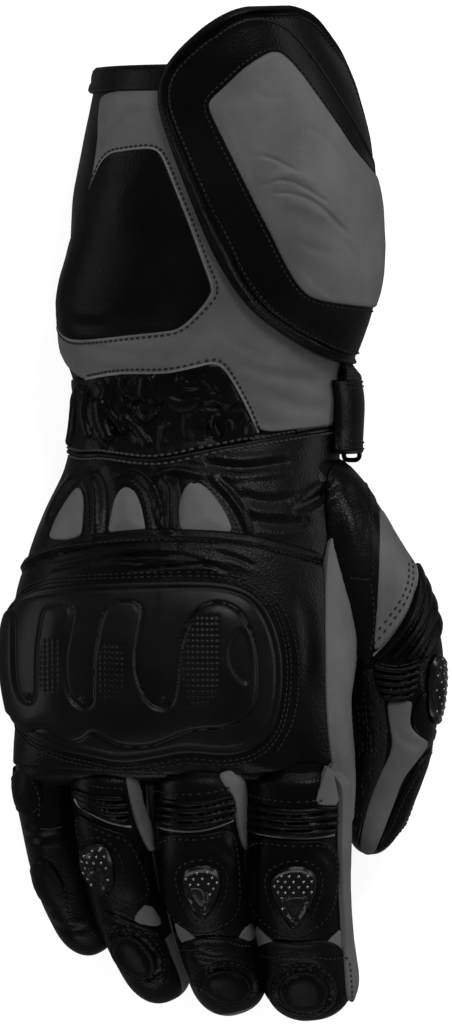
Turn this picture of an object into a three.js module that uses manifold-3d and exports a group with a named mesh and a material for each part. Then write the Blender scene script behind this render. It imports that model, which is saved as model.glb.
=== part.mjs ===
// A right-hand gauntlet glove lying palm down, fingers towards -Y, back of the hand up.
// Sizes in millimetres, +Z up, the flattened underside on z = 0.
import * as THREE from 'three';
import { mergeVertices } from 'three/addons/utils/BufferGeometryUtils.js';
import Module from 'manifold-3d';

// Driving sizes
const LEATHER = 2.0;          // wall of the leather shells
const PANEL = 1.2;            // thickness of a sewn-on leather panel
const GAP = 0.3;              // clear distance between neighbouring pieces
const CUFF_LENGTH = 121.0;    // wrist seam to the end of the cuff
const CUFF_WIDTH = 99.0;
const CUFF_HEIGHT = 75.0;
const WRIST_WIDTH = 92.0;
const WRIST_HEIGHT = 50.0;
const HAND_LENGTH = 116.0;    // wrist seam to the finger roots
const PALM_WIDTH = 116.5;
const HAND_HEIGHT = 66.0;
const INDEX_REACH = 91.0;
const MIDDLE_REACH = 92.0;
const RING_REACH = 88.0;
const LITTLE_REACH = 76.0;
const THUMB_REACH = 132.5;
const FINGER_WIDTH = 33.6;    // the index finger at its root
const FINGER_HEIGHT = 36.0;
const THUMB_WIDTH = 36.8;
const THUMB_HEIGHT = 48.0;
const FLAP_THICKNESS = 2.4;
const GUARD_HEIGHT = 4.5;     // crown of the moulded knuckle guard
const WIRE = 2.4;             // bar of the strap ring

const wasm = await Module();
wasm.setup();

const rad = (a) => (a * Math.PI) / 180;
const mix = (a, b, k) => a + (b - a) * k;
const clamp = (v, a, b) => Math.min(b, Math.max(a, v));
const cross = (a, b) => [a[1] * b[2] - a[2] * b[1], a[2] * b[0] - a[0] * b[2], a[0] * b[1] - a[1] * b[0]];
const minus = (a, b) => [a[0] - b[0], a[1] - b[1], a[2] - b[2]];
const dot = (a, b) => a[0] * b[0] + a[1] * b[1] + a[2] * b[2];
const unit = (a) => {
  const l = Math.hypot(...a) || 1;
  return [a[0] / l, a[1] / l, a[2] / l];
};

// A smooth run through rows of numbers, each row starting with its place t
function smooth(rows, t) {
  let i = 0;
  while (i < rows.length - 2 && t >= rows[i + 1][0]) i += 1;
  const h = rows[i + 1][0] - rows[i][0];
  const u = (t - rows[i][0]) / h;
  const slope = (j, k) => {
    const a = rows[Math.max(j - 1, 0)];
    const b = rows[Math.min(j + 1, rows.length - 1)];
    return (b[k] - a[k]) / (b[0] - a[0]);
  };
  const out = [];
  for (let k = 1; k < rows[0].length; k += 1) {
    const p = rows[i][k];
    const q = rows[i + 1][k];
    const m = slope(i, k) * h;
    const n = slope(i + 1, k) * h;
    const uu = u * u;
    const uuu = uu * u;
    out.push((2 * uuu - 3 * uu + 1) * p + (uuu - 2 * uu + u) * m + (3 * uu - 2 * uuu) * q + (uuu - uu) * n);
  }
  return out;
}

// A tube with rows [t, x, y, z, half width, up, down] and flattened where it would go below its floor
class Tube {
  constructor(rows, { top = 2.3, bottom = 2.6, forward = null, tip = 0, length = 1 } = {}) {
    Object.assign(this, { rows, top, bottom, forward, tip, length });
    this.end = rows[rows.length - 1][0];
  }

  frame(t) {
    const v = smooth(this.rows, t);
    let f = this.forward;
    if (!f) {
      const e = 0.001;
      const a = smooth(this.rows, t - e);
      const b = smooth(this.rows, t + e);
      f = unit([b[0] - a[0], b[1] - a[1], b[2] - a[2]]);
    }
    const side = unit(cross([0, 0, 1], f));
    const up = cross(f, side);
    return { v, f, side, up };
  }

  // The point at angle th (degrees from the top, positive to +X) of the tube made larger by grow
  point(th, t, grow = 0) {
    const { v, side, up } = this.frame(t);
    let w = v[3] + grow;
    let hu = v[4] + grow;
    let hd = v[5] + grow;
    if (this.tip > 0) {
      const q = clamp((t - (this.end - this.tip)) / (this.tip + grow / this.length), 0, 1);
      const cap = Math.pow(Math.max(1 - Math.pow(q, 2.4), 0), 1 / 2.4);
      w *= cap;
      hu *= cap;
      hd *= cap;
    }
    const s = Math.sin(rad(th));
    const c = Math.cos(rad(th));
    const p = c >= 0 ? this.top : this.bottom;
    const a = w * Math.sign(s) * Math.pow(Math.abs(s), 2 / p);
    const b = (c >= 0 ? hu : hd) * Math.sign(c) * Math.pow(Math.abs(c), 2 / p);
    const x = v[0] + side[0] * a + up[0] * b;
    const y = v[1] + side[1] * a + up[1] * b;
    const z = v[2] + side[2] * a + up[2] * b;
    return [x, y, Math.max(z, -grow)];
  }

  normal(th, t) {
    const g = 0.004;
    const du = minus(this.point(th + 1.5, t), this.point(th - 1.5, t));
    const dv = minus(this.point(th, t + g), this.point(th, t - g));
    const n = unit(cross(du, dv));
    const out = minus(this.point(th, t), this.frame(t).v);
    return dot(n, out) < 0 ? n.map((k) => -k) : n;
  }

  at(th, t, d) {
    const p = this.point(th, t);
    const n = this.normal(th, t);
    return [p[0] + n[0] * d, p[1] + n[1] * d, p[2] + n[2] * d];
  }
}

// Solids
function solidOf(points, faces) {
  const make = (list) => new wasm.Manifold(new wasm.Mesh({
    numProp: 3,
    vertProperties: new Float32Array(points.flat()),
    triVerts: new Uint32Array(list.flat()),
  }));
  const solid = make(faces);
  return solid.volume() < 0 ? make(faces.map(([a, b, c]) => [a, c, b])) : solid;
}

// The filled tube between t0 and t1, larger by grow, its round tip closed with one point
function fill(tube, t0, t1, grow, cols, steps) {
  const round = tube.tip > 0;
  const last = round ? tube.end + grow / tube.length : t1;
  const places = [];
  const straight = round ? tube.end - tube.tip : t1;
  for (let i = 0; i <= steps; i += 1) places.push(mix(t0, straight, i / steps));
  if (round) for (const q of [0.4, 0.7, 0.9]) places.push(mix(straight, last, q));
  const points = [];
  for (const t of places) for (let j = 0; j < cols; j += 1) points.push(tube.point((360 * j) / cols, t, grow));
  const faces = [];
  const at = (i, j) => i * cols + (j % cols);
  for (let i = 0; i < places.length - 1; i += 1) {
    for (let j = 0; j < cols; j += 1) {
      faces.push([at(i, j), at(i, j + 1), at(i + 1, j + 1)], [at(i, j), at(i + 1, j + 1), at(i + 1, j)]);
    }
  }
  const middle = (i) => {
    const { v } = tube.frame(places[i]);
    return [v[0], v[1], v[2]];
  };
  const n = points.length;
  points.push(middle(0));
  if (round) {
    const { v } = tube.frame(last);
    points.push([v[0], v[1], Math.max(v[2], -grow)]);
  } else {
    points.push(middle(places.length - 1));
  }
  for (let j = 0; j < cols; j += 1) {
    faces.push([n, at(0, j + 1), at(0, j)]);
    faces.push([n + 1, at(places.length - 1, j), at(places.length - 1, j + 1)]);
  }
  return solidOf(points, faces);
}

// How far the flat facets of a panel dip below the curved surface they lie on
function dip(tube, rows, cols, d) {
  let most = 0;
  const place = (i, j) => [mix(rows[i][1], rows[i][2], j / cols), rows[i][0]];
  for (let i = 0; i < rows.length - 1; i += 1) {
    for (let j = 0; j < cols; j += 1) {
      const [a, b, c, e] = [place(i, j), place(i + 1, j), place(i + 1, j + 1), place(i, j + 1)];
      for (const [p, q] of [[a, c], [b, e], [a, e], [b, c]]) {
        const [th, t] = [(p[0] + q[0]) / 2, (p[1] + q[1]) / 2];
        const [x, y] = [tube.at(...p, d), tube.at(...q, d)];
        const middle = [(x[0] + y[0]) / 2, (x[1] + y[1]) / 2, (x[2] + y[2]) / 2];
        most = Math.max(most, d - dot(minus(middle, tube.point(th, t)), tube.normal(th, t)));
      }
    }
  }
  return most;
}

// A panel laid on a tube: rows [t, from, to] in degrees, from d0 to d0 + thick(u, v) above the surface.
// It is lifted by its own dip, and the height of its top is kept in patch.top.
function patch(tube, rows, { d0 = GAP, thick = PANEL, cols = 6, more = 0 } = {}) {
  const points = [];
  const rise = typeof d0 === 'function' || d0 < 0 ? 0 : dip(tube, rows, cols, d0) + more;
  const high = typeof thick === 'function' ? thick : () => thick;
  const lift = typeof d0 === 'function' ? d0 : () => d0 + rise;
  patch.top = 0;
  const n = rows.length;
  for (const side of [0, 1]) {
    rows.forEach(([t, from, to], i) => {
      for (let j = 0; j <= cols; j += 1) {
        const th = mix(from, to, j / cols);
        const low = lift(j / cols, i / (n - 1));
      const d = side ? low + high(j / cols, i / (n - 1)) : low;
      patch.top = Math.max(patch.top, d);
        points.push(tube.at(th, t, d));
      }
    });
  }
  const at = (side, i, j) => side * n * (cols + 1) + i * (cols + 1) + j;
  const faces = [];
  const quad = (a, b, c, d) => faces.push([a, b, c], [a, c, d]);
  for (let i = 0; i < n - 1; i += 1) {
    for (let j = 0; j < cols; j += 1) {
      quad(at(1, i, j), at(1, i + 1, j), at(1, i + 1, j + 1), at(1, i, j + 1));
      quad(at(0, i, j), at(0, i, j + 1), at(0, i + 1, j + 1), at(0, i + 1, j));
    }
    quad(at(0, i, 0), at(0, i + 1, 0), at(1, i + 1, 0), at(1, i, 0));
    quad(at(0, i, cols), at(1, i, cols), at(1, i + 1, cols), at(0, i + 1, cols));
  }
  for (let j = 0; j < cols; j += 1) {
    quad(at(0, 0, j), at(1, 0, j), at(1, 0, j + 1), at(0, 0, j + 1));
    quad(at(0, n - 1, j), at(0, n - 1, j + 1), at(1, n - 1, j + 1), at(1, n - 1, j));
  }
  return solidOf(points, faces);
}

// Rows made finer by straight steps between the given ones
function finer(rows, count) {
  const out = [];
  for (let i = 0; i < count; i += 1) {
    const t = mix(rows[0][0], rows[rows.length - 1][0], i / (count - 1));
    let k = 0;
    while (k < rows.length - 2 && t > rows[k + 1][0]) k += 1;
    const u = (t - rows[k][0]) / (rows[k + 1][0] - rows[k][0]);
    out.push([t, mix(rows[k][1], rows[k + 1][1], u), mix(rows[k][2], rows[k + 1][2], u)]);
  }
  return out;
}

// Rows of an oval about (t, th) with half sizes ht and ha
function oval(t, th, ht, ha, count = 5) {
  const out = [];
  for (let i = 0; i < count; i += 1) {
    const a = mix(-1.22, 1.22, i / (count - 1));
    out.push([t + ht * Math.sin(a), th - ha * Math.cos(a), th + ha * Math.cos(a)]);
  }
  return out;
}

// A closed three.js geometry as a solid
function solidFrom(geometry) {
  geometry.deleteAttribute('normal');
  geometry.deleteAttribute('uv');
  const merged = mergeVertices(geometry, 1e-4);
  return new wasm.Manifold(new wasm.Mesh({
    numProp: 3,
    vertProperties: new Float32Array(merged.attributes.position.array),
    triVerts: new Uint32Array(merged.index.array),
  }));
}

function box(x0, x1, y0, y1, z0, z1) {
  const geometry = new THREE.BoxGeometry(x1 - x0, y1 - y0, z1 - z0);
  return solidFrom(geometry.translate((x0 + x1) / 2, (y0 + y1) / 2, (z0 + z1) / 2));
}

// The cuff: [t, centre, width, share of the wrist's width, height from wrist to cuff, underside]
const CUFF_ROWS = [
  [-0.098, -0.015, 0.98, 1.04, 0.16, -0.04],
  [0.0, 0.0, 0.93, 1.0, 0.0, -0.04],
  [0.092, 0.005, 0.9, 0.7, 0.08, -0.053],
  [0.174, 0.002, 0.907, 0.3, 0.2, -0.067],
  [0.269, 0.013, 0.983, 0.1, 0.36, -0.08],
  [0.378, 0.035, 1.013, 0, 0.52, -0.093],
  [0.514, 0.058, 1.0, 0, 0.68, -0.107],
  [0.663, 0.061, 0.98, 0, 0.8, -0.107],
  [0.799, 0.065, 0.927, 0, 0.88, -0.107],
  [0.908, 0.061, 0.86, 0, 0.92, -0.093],
  [1.0, 0.05, 0.797, 0, 0.96, -0.08],
  [1.179, 0.017, 0.664, 0, 1.0, -0.053],
];
const cuff = new Tube(CUFF_ROWS.map(([t, c, w, wrist, h, low]) => {
  const width = mix(w * CUFF_WIDTH, WRIST_WIDTH, Math.min(wrist, 1)) * Math.max(wrist, 1);
  const over = mix(WRIST_HEIGHT, CUFF_HEIGHT, h);
  const under = low * CUFF_HEIGHT;
  return [t, c * CUFF_WIDTH, t * CUFF_LENGTH, (over + under) / 2, width / 2, (over - under) / 2, (over - under) / 2];
}), { top: 2.2, bottom: 2.6, forward: [0, -1, 0], length: CUFF_LENGTH });

// The hand: [t, centre, width, share of the wrist's width, height from wrist to knuckles, underside]
const HAND_ROWS = [
  [0.0, 0.0, 0.79, 1.0, 0.0, -0.045],
  [0.097, -0.013, 0.827, 0.3, 0.25, -0.045],
  [0.21, -0.03, 0.878, 0, 0.5, -0.045],
  [0.352, -0.047, 0.94, 0, 0.75, -0.03],
  [0.494, -0.059, 0.989, 0, 0.938, 0.015],
  [0.636, -0.062, 1.0, 0, 1.0, 0.076],
  [0.778, -0.061, 0.975, 0, 0.938, 0.136],
  [0.906, -0.055, 0.963, 0, 0.75, 0.197],
  [1.0, -0.048, 0.949, 0, 0.438, 0.273],
  [1.12, -0.04, 0.93, 0, 0.2, 0.33],
];
const hand = new Tube(HAND_ROWS.map(([t, c, w, wrist, h, low]) => {
  const width = mix(w * PALM_WIDTH, WRIST_WIDTH, wrist);
  const over = mix(WRIST_HEIGHT, HAND_HEIGHT, h);
  const under = low * HAND_HEIGHT;
  return [t, c * PALM_WIDTH, -t * HAND_LENGTH, (over + under) / 2, width / 2, (over - under) / 2, (over - under) / 2];
}), { top: 2.3, bottom: 2.6, forward: [0, -1, 0], length: HAND_LENGTH });

// A digit: rows [along its reach, sideways, height from tip to root, width, up, down]
function digit({ root, reach, width, height, rows, tip, top = 2.4, bottom = 2.4 }) {
  const [x0, y0, z0] = [root[0] * PALM_WIDTH, -root[1] * HAND_LENGTH, root[2] * HAND_HEIGHT];
  const z1 = rows[rows.length - 1][5] * height;
  const list = rows.map(([along, aside, high, w, up, down]) => [
    0, x0 + aside * PALM_WIDTH, y0 - along * reach, mix(z1, z0, high), (w * width) / 2, up * height, down * height,
  ]);
  let run = 0;
  for (let i = 1; i < list.length; i += 1) {
    run += Math.hypot(list[i][1] - list[i - 1][1], list[i][2] - list[i - 1][2]);
    list[i][0] = run;
  }
  for (const r of list) r[0] /= run;
  return new Tube(list, { top, bottom, tip, length: run });
}

const index = digit({
  root: [0.271, 0.878, 0.636], reach: INDEX_REACH, width: FINGER_WIDTH, height: FINGER_HEIGHT, tip: 0.16,
  rows: [
    [0.0, 0.0, 1.0, 1.0, 0.5, 0.5], [0.199, 0.0, 0.964, 1.0, 0.5, 0.5], [0.38, 0.003, 0.873, 0.98, 0.486, 0.486],
    [0.562, 0.006, 0.68, 0.941, 0.472, 0.472], [0.725, 0.02, 0.4, 0.922, 0.458, 0.458],
    [0.87, 0.037, 0.08, 0.922, 0.431, 0.431], [1.0, 0.048, -0.12, 0.882, 0.403, 0.403],
  ],
});
const middle = digit({
  root: [-0.003, 0.849, 0.697], reach: MIDDLE_REACH, width: 0.902 * FINGER_WIDTH, height: 0.944 * FINGER_HEIGHT, tip: 0.16,
  rows: [
    [0.0, 0.0, 1.0, 1.0, 0.5, 0.5], [0.197, 0.0, 0.969, 0.978, 0.5, 0.5], [0.394, 0.003, 0.877, 0.957, 0.5, 0.5],
    [0.573, 0.017, 0.68, 0.935, 0.485, 0.485], [0.735, 0.045, 0.41, 0.913, 0.456, 0.456],
    [0.878, 0.082, 0.09, 0.891, 0.426, 0.426], [1.0, 0.11, -0.11, 0.848, 0.397, 0.397],
  ],
});
const ring = digit({
  root: [-0.263, 0.849, 0.636], reach: RING_REACH, width: 0.821 * FINGER_WIDTH, height: 0.889 * FINGER_HEIGHT, tip: 0.16,
  rows: [
    [0.0, 0.0, 1.0, 1.0, 0.5, 0.5], [0.187, 0.006, 0.966, 0.976, 0.5, 0.5], [0.393, 0.02, 0.862, 0.952, 0.5, 0.5],
    [0.581, 0.045, 0.63, 0.929, 0.484, 0.484], [0.73, 0.085, 0.36, 0.905, 0.469, 0.469],
    [0.873, 0.133, 0.08, 0.857, 0.438, 0.438], [1.0, 0.178, -0.1, 0.786, 0.406, 0.406],
  ],
});
const little = digit({
  root: [-0.449, 0.821, 0.485], reach: LITTLE_REACH, width: 0.667 * FINGER_WIDTH, height: 0.833 * FINGER_HEIGHT, tip: 0.16,
  rows: [
    [0.0, 0.0, 1.0, 1.0, 0.5, 0.5], [0.196, 0.003, 0.951, 0.971, 0.5, 0.5], [0.413, 0.02, 0.78, 0.912, 0.483, 0.483],
    [0.609, 0.045, 0.52, 0.912, 0.467, 0.467], [0.761, 0.079, 0.26, 0.912, 0.45, 0.45],
    [0.891, 0.119, 0.05, 0.882, 0.417, 0.417], [1.0, 0.158, -0.08, 0.794, 0.383, 0.383],
  ],
});
const thumb = digit({
  root: [0.268, 0.054, 0.364], reach: THUMB_REACH, width: THUMB_WIDTH, height: THUMB_HEIGHT, tip: 0.12, top: 2.3,
  rows: [
    [0.0, 0.0, 1.0, 0.536, 0.417, 0.458], [0.112, 0.073, 1.0, 0.821, 0.438, 0.5],
    [0.261, 0.155, 1.2, 0.982, 0.458, 0.542], [0.409, 0.243, 1.2, 1.0, 0.438, 0.542],
    [0.558, 0.285, 1.0, 0.893, 0.417, 0.5], [0.707, 0.277, 0.7, 0.732, 0.375, 0.438],
    [0.844, 0.243, 0.35, 0.625, 0.333, 0.375], [1.0, 0.206, 0.0, 0.482, 0.292, 0.292],
  ],
});

const pieces = [];
const tops = {};
const add = (name, solid) => pieces.push([name, solid]);
const lay = (name, tube, rows, options) => {
  add(name, patch(tube, rows, options));
  tops[name] = patch.top;
};
const crown = (edge, rise) => (u, v) => edge + rise * Math.pow(4 * u * (1 - u) * 4 * v * (1 - v), 0.4);

// Where the finger roots meet the hand, as a share of each finger's length
function rootOf(tube) {
  let [a, b] = [0, 0.5];
  for (let i = 0; i < 30; i += 1) {
    const m = (a + b) / 2;
    if (tube.frame(m).v[1] > -HAND_LENGTH) a = m;
    else b = m;
  }
  return a;
}

// Leather shells, each open where the next one begins
const fingers = { index, middle, ring, little };
const beforeRoots = box(-300, 300, -600, -HAND_LENGTH - GAP, -50, 300);
const thumbSide = box(-300, 300, -0.585 * HAND_LENGTH, 300, -50, 0.52 * HAND_HEIGHT);
const handOuter = fill(hand, 0, 1, 0, 24, 7);
const handNear = fill(hand, -0.02, 1 + GAP / HAND_LENGTH, GAP, 24, 7);
const handWall = fill(hand, -0.02, 1 + (GAP + LEATHER) / HAND_LENGTH, GAP + LEATHER, 24, 7);
const thumbInner = fill(thumb, 0.1, 1, -LEATHER, 14, 5);
let handShell = handOuter.subtract(fill(hand, -0.02, 1 - LEATHER / HAND_LENGTH, -LEATHER, 22, 6));
for (const tube of Object.values(fingers)) {
  const t = rootOf(tube);
  const back = (LEATHER + 1) / tube.length;
  handShell = handShell.subtract(fill(tube, t - back, t, -LEATHER, 12, 4));
}
handShell = handShell.subtract(thumbInner.intersect(thumbSide));

add('gauntlet', fill(cuff, 0, 1, 0, 24, 7).subtract(fill(cuff, -0.02, 1.02, -LEATHER, 22, 6)));
add('hand', handShell);
let beside = null;
for (const [name, tube] of Object.entries(fingers)) {
  const t = rootOf(tube);
  let outer = fill(tube, t - 0.03, t, 0, 14, 5).intersect(beforeRoots);
  let inner = fill(tube, t - 0.06, t, -LEATHER, 12, 4);
  if (beside) {
    const s = rootOf(beside) - 0.03;
    outer = outer.subtract(fill(beside, s, 1, GAP, 14, 5));
    inner = inner.subtract(fill(beside, s, 1, GAP + LEATHER, 14, 5));
  }
  add(`${name}_finger`, outer.subtract(inner));
  beside = tube;
}

// Grey strip down the thumb side of the hand and the index finger
const HAND_STRIP = [[0.16, 70, 78], [0.21, 64, 79], [0.29, 57, 79], [0.38, 54, 79], [0.55, 53, 80], [0.7, 54, 90], [0.86, 56, 95], [0.985, 57, 98]];
const INDEX_STRIP = [[0.165, 44, 90], [0.3, 45, 92], [0.44, 47, 92], [0.58, 50, 92], [0.72, 52, 94], [0.86, 55, 96], [0.93, 60, 98]];
const wider = (rows, a, b) => rows.map(([t, from, to], i) => [
  t + (i === 0 ? -b : 0) + (i === rows.length - 1 ? b : 0), from - a, to + a,
]);
lay('hand_side_strip', hand, HAND_STRIP, { thick: crown(0.9, 0.5), cols: 4, more: 0.1 });
lay('index_side_strip', index, INDEX_STRIP, { thick: crown(0.9, 0.5), cols: 4 });
const stripRoom = patch(hand, wider(HAND_STRIP, 1.5, 0.01), { d0: -1, thick: 1 + tops.hand_side_strip + GAP + 0.2, cols: 4 })
  .add(patch(index, wider(INDEX_STRIP, 1.5, 0.01), { d0: -1, thick: 1 + tops.index_side_strip + GAP + 0.2, cols: 4 }));

const nextTo = handNear.add(fill(index, rootOf(index) - 0.03, 1, GAP, 14, 5)).add(stripRoom);
const lowerSide = box(-300, 300, -600, -0.585 * HAND_LENGTH, -50, 300);
const wallRoom = handWall.add(fill(index, rootOf(index) - 0.03, 1, GAP + LEATHER, 14, 5))
  .add(patch(hand, wider(HAND_STRIP, 4, 0.02), { d0: -1, thick: 1 + tops.hand_side_strip + GAP + LEATHER, cols: 4 }))
  .intersect(lowerSide);
add('thumb', fill(thumb, 0.08, 1, 0, 18, 6).subtract(nextTo).subtract(thumbInner.subtract(wallRoom)));

// Cuff: binding, grey panel, black panel, flap with its pad, gathered wrist

add('cuff_binding', patch(cuff, [[0.962, -136, 136], [1.016, -136, 136]], { cols: 13 })
  .add(patch(cuff, [[1 + (GAP + 0.6) / CUFF_LENGTH, -136, 136], [1.016, -136, 136]], { d0: -LEATHER, thick: LEATHER + GAP + 1, cols: 13 })));
const cuffTop = patch(cuff, [
  [0.172, -88, 84], [0.28, -87, 84], [0.4, -88, 84], [0.52, -80, 84], [0.65, -68, 84], [0.8, -61, 84],
  [0.92, -58, 84], [0.945, -52, 80],
], { cols: 11, more: 0.15 });
tops.cuff_top_panel = patch.top;
const cuffSide = patch(cuff, [[0.012, 24, 68], [0.07, 19, 70], [0.145, 10, 74], [0.19, 0, 84]], { cols: 6, more: 0.6 });
add('cuff_top_panel', cuffTop.add(cuffSide));
tops.cuff_top_panel = Math.max(tops.cuff_top_panel, patch.top);
lay('cuff_panel', cuff, [
  [0.262, -78, -24], [0.29, -83, -14], [0.34, -87, -5], [0.395, -88, -1], [0.46, -85, -3],
  [0.6, -67, -12], [0.755, -53, -20],
], { d0: tops.cuff_top_panel + GAP, thick: crown(1.0, 0.8), cols: 6 });
const FLAP_ROWS = [
  [0.215, 46, 92], [0.24, 30, 98], [0.29, 18, 106], [0.38, 7, 113], [0.52, -3, 114],
  [0.66, -11, 108], [0.81, -20, 100], [0.92, -25, 93], [1.01, -21, 87], [1.09, -8, 76],
  [1.145, 8, 60], [1.165, 18, 50],
];
const bead = (u, v) => FLAP_THICKNESS + (u < 0.06 || u > 0.94 || v < 0.05 || v > 0.95 ? 0.9 : 0);
lay('cuff_flap', cuff, FLAP_ROWS, { d0: PANEL + 3 * GAP, thick: bead, cols: 8 });
lay('flap_pad', cuff, [
  [0.365, 48, 98], [0.385, 33, 102], [0.44, 24, 102], [0.54, 16, 100], [0.66, 8, 88],
  [0.79, 1, 63], [0.9, -3, 45], [0.97, 4, 38], [1.01, 12, 33],
], { d0: tops.cuff_flap - 6 * GAP, thick: crown(1.0, 1.6), cols: 6 });
const folds = (u, v) => PANEL + 0.9 * Math.pow(Math.sin(Math.PI * (7 * u + v)), 2);
add('wrist_gather', patch(cuff, [[0.012, -94, 19], [0.06, -93, 16], [0.105, -92, 11], [0.15, -88, 6]], { thick: folds, cols: 14, more: 0.35 }));

// Wrist strap standing off the thumb side and passing through a wire ring
const stand = (u) => GAP + 0.3 + 4.4 * Math.pow(Math.sin(Math.PI * u), 0.8);
const STRAP = [[-0.045, 78, 130], [0.056, 78, 130], [0.157, 80, 130]];
add('wrist_strap', patch(cuff, STRAP, { d0: stand, thick: 2.2, cols: 10 }));

function bar(length, place, turn) {
  const geometry = new THREE.BoxGeometry(WIRE, length, WIRE).rotateZ(rad(turn));
  return solidFrom(geometry.translate(...place));
}
const strapAt = cuff.at(102, 0.056, 6.4);
const RING = [7.8, 30];
const ringBars = [
  bar(RING[1], [strapAt[0] - RING[0] / 2, strapAt[1], strapAt[2]], 0),
  bar(RING[1], [strapAt[0] + RING[0] / 2, strapAt[1], strapAt[2]], 0),
  bar(RING[0] + WIRE, [strapAt[0], strapAt[1] - RING[1] / 2, strapAt[2]], 90),
  bar(RING[0] + WIRE, [strapAt[0], strapAt[1] + RING[1] / 2, strapAt[2]], 90),
];
add('strap_ring', ringBars.reduce((a, b) => a.add(b)));

// Back of the hand: three grey inserts, the knuckle panel, its moulded guard and the grey side strip
add('tendon_insert_1', patch(hand, [[0.14, -54, -48], [0.165, -56, -46], [0.19, -58, -44], [0.23, -60, -42], [0.26, -61, -41]], { thick: crown(0.8, 0.6), cols: 4 }));
add('tendon_insert_2', patch(hand, [[0.142, -25, -21], [0.165, -27, -19], [0.19, -28, -17], [0.22, -28, -14], [0.25, -27, -12]], { thick: crown(0.8, 0.6), cols: 4 }));
add('tendon_insert_3', patch(hand, [[0.128, -3, 3], [0.15, -4, 5], [0.18, -3, 8], [0.22, -3, 11], [0.255, -2, 14]], { thick: crown(0.8, 0.6), cols: 4 }));
const roll = (u, v) => PANEL + (v < 0.1 ? 0.9 : 0);
lay('knuckle_panel', hand, [
  [0.285, -58, 38], [0.31, -74, 48], [0.34, -86, 50], [0.5, -88, 50], [0.66, -90, 50], [0.82, -90, 51], [0.985, -90, 53],
], { thick: roll, cols: 11 });
const ribs = [[0.0, 0.1], [0.2, 0.3], [0.4, 0.52], [0.68, 0.94]];
const guardTop = (u, v) => {
  const edge = Math.pow(4 * clamp(u, 0.04, 0.96) * (1 - clamp(u, 0.04, 0.96)), 0.5) * Math.pow(4 * clamp(v, 0.03, 0.97) * (1 - clamp(v, 0.03, 0.97)), 0.5);
  const rib = v > 0.12 && v < 0.85 && ribs.some(([a, b]) => u >= a && u <= b) ? 1 : 0;
  return 1.2 + (GUARD_HEIGHT - 2) * edge + 0.9 * rib;
};
lay('knuckle_guard', hand, [
  [0.425, -62, 12], [0.45, -72, 20], [0.5, -78, 27], [0.57, -80, 31], [0.64, -81, 33], [0.71, -80, 33],
  [0.78, -77, 31], [0.84, -70, 27], [0.885, -60, 18],
], { d0: tops.knuckle_panel - 0.9 + GAP, thick: guardTop, cols: 13 });

// Fingers: accordion over the knuckle, back panel, small guard, tip panel and its oval pad
const ridges = (u, v) => 0.9 + 1.1 * Math.pow(Math.sin(Math.PI * 4 * v), 2);
const shield = (u, v) => 1.0 + 1.2 * Math.pow(4 * clamp(u, 0.06, 0.94) * (1 - clamp(u, 0.06, 0.94)), 0.6) * (0.4 + 0.6 * Math.min(1, 6 * v * (1 - v)));
const soft = crown(0.9, 0.9);
function dress(name, tube, d) {
  lay(`${name}_accordion`, tube, finer(d.folds, 9), { thick: ridges, cols: 4 });
  lay(`${name}_back_panel`, tube, d.back, { thick: soft, cols: 5 });
  lay(`${name}_guard`, tube, d.guard, { d0: tops[`${name}_back_panel`] + GAP, thick: shield, cols: 4 });
  lay(`${name}_tip_panel`, tube, d.tip, { thick: soft, cols: 5 });
  lay(`${name}_tip_pad`, tube, d.pad, { d0: tops[`${name}_tip_panel`] + GAP, thick: crown(0.7, 0.5), cols: 4 });
  if (d.side) add(`${name}_side_strip`, patch(tube, d.side, { thick: 1.0, cols: 2 }));
}
dress('index', index, {
  folds: [[0.17, -60, 41], [0.23, -60, 42], [0.295, -60, 42]],
  back: [[0.308, -58, 38], [0.34, -64, 42], [0.42, -68, 44], [0.5, -68, 46], [0.57, -60, 42], [0.62, -42, 30]],
  guard: [[0.4, -20, 12], [0.43, -27, 17], [0.475, -26, 16], [0.52, -19, 10], [0.555, -11, 3], [0.578, -6, -2]],
  tip: [[0.65, -46, 30], [0.7, -54, 46], [0.76, -55, 48], [0.83, -52, 49], [0.885, -44, 46]],
  pad: oval(0.816, -9, 0.066, 21),
});
dress('middle', middle, {
  folds: [[0.2, -46, 38], [0.25, -50, 38], [0.31, -50, 40]],
  back: [[0.323, -46, 40], [0.35, -56, 46], [0.42, -62, 50], [0.5, -62, 50], [0.57, -54, 44], [0.62, -40, 34]],
  guard: [[0.405, -17, 15], [0.435, -22, 20], [0.48, -23, 17], [0.525, -20, 10], [0.56, -14, 3], [0.582, -9, -2]],
  tip: [[0.65, -50, 26], [0.7, -52, 36], [0.76, -50, 38], [0.83, -46, 38], [0.885, -34, 38]],
  pad: oval(0.822, -6, 0.06, 20),
  side: [[0.2, 46, 62], [0.25, 47, 63], [0.31, 50, 65], [0.37, 56, 68]],
});
dress('ring', ring, {
  folds: [[0.2, -54, 14], [0.24, -54, 16], [0.298, -54, 18]],
  back: [[0.312, -52, 22], [0.35, -56, 28], [0.42, -56, 36], [0.5, -50, 38], [0.56, -40, 34]],
  guard: [[0.352, -38, -14], [0.38, -47, -8], [0.42, -50, -6], [0.46, -45, -7], [0.492, -33, -12]],
  tip: [[0.6, -48, 4], [0.66, -52, 20], [0.73, -54, 28], [0.81, -50, 28], [0.87, -34, 24]],
  pad: oval(0.724, -26, 0.068, 21),
  side: [[0.2, 30, 50], [0.25, 30, 52], [0.31, 34, 54], [0.37, 44, 58]],
});
add('little_root_pad', patch(little, oval(0.325, -34, 0.045, 26), { thick: crown(0.9, 0.7), cols: 4 }));
add('little_back_pad', patch(little, oval(0.614, -38, 0.085, 32), { thick: crown(0.9, 0.7), cols: 4 }));

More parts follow.
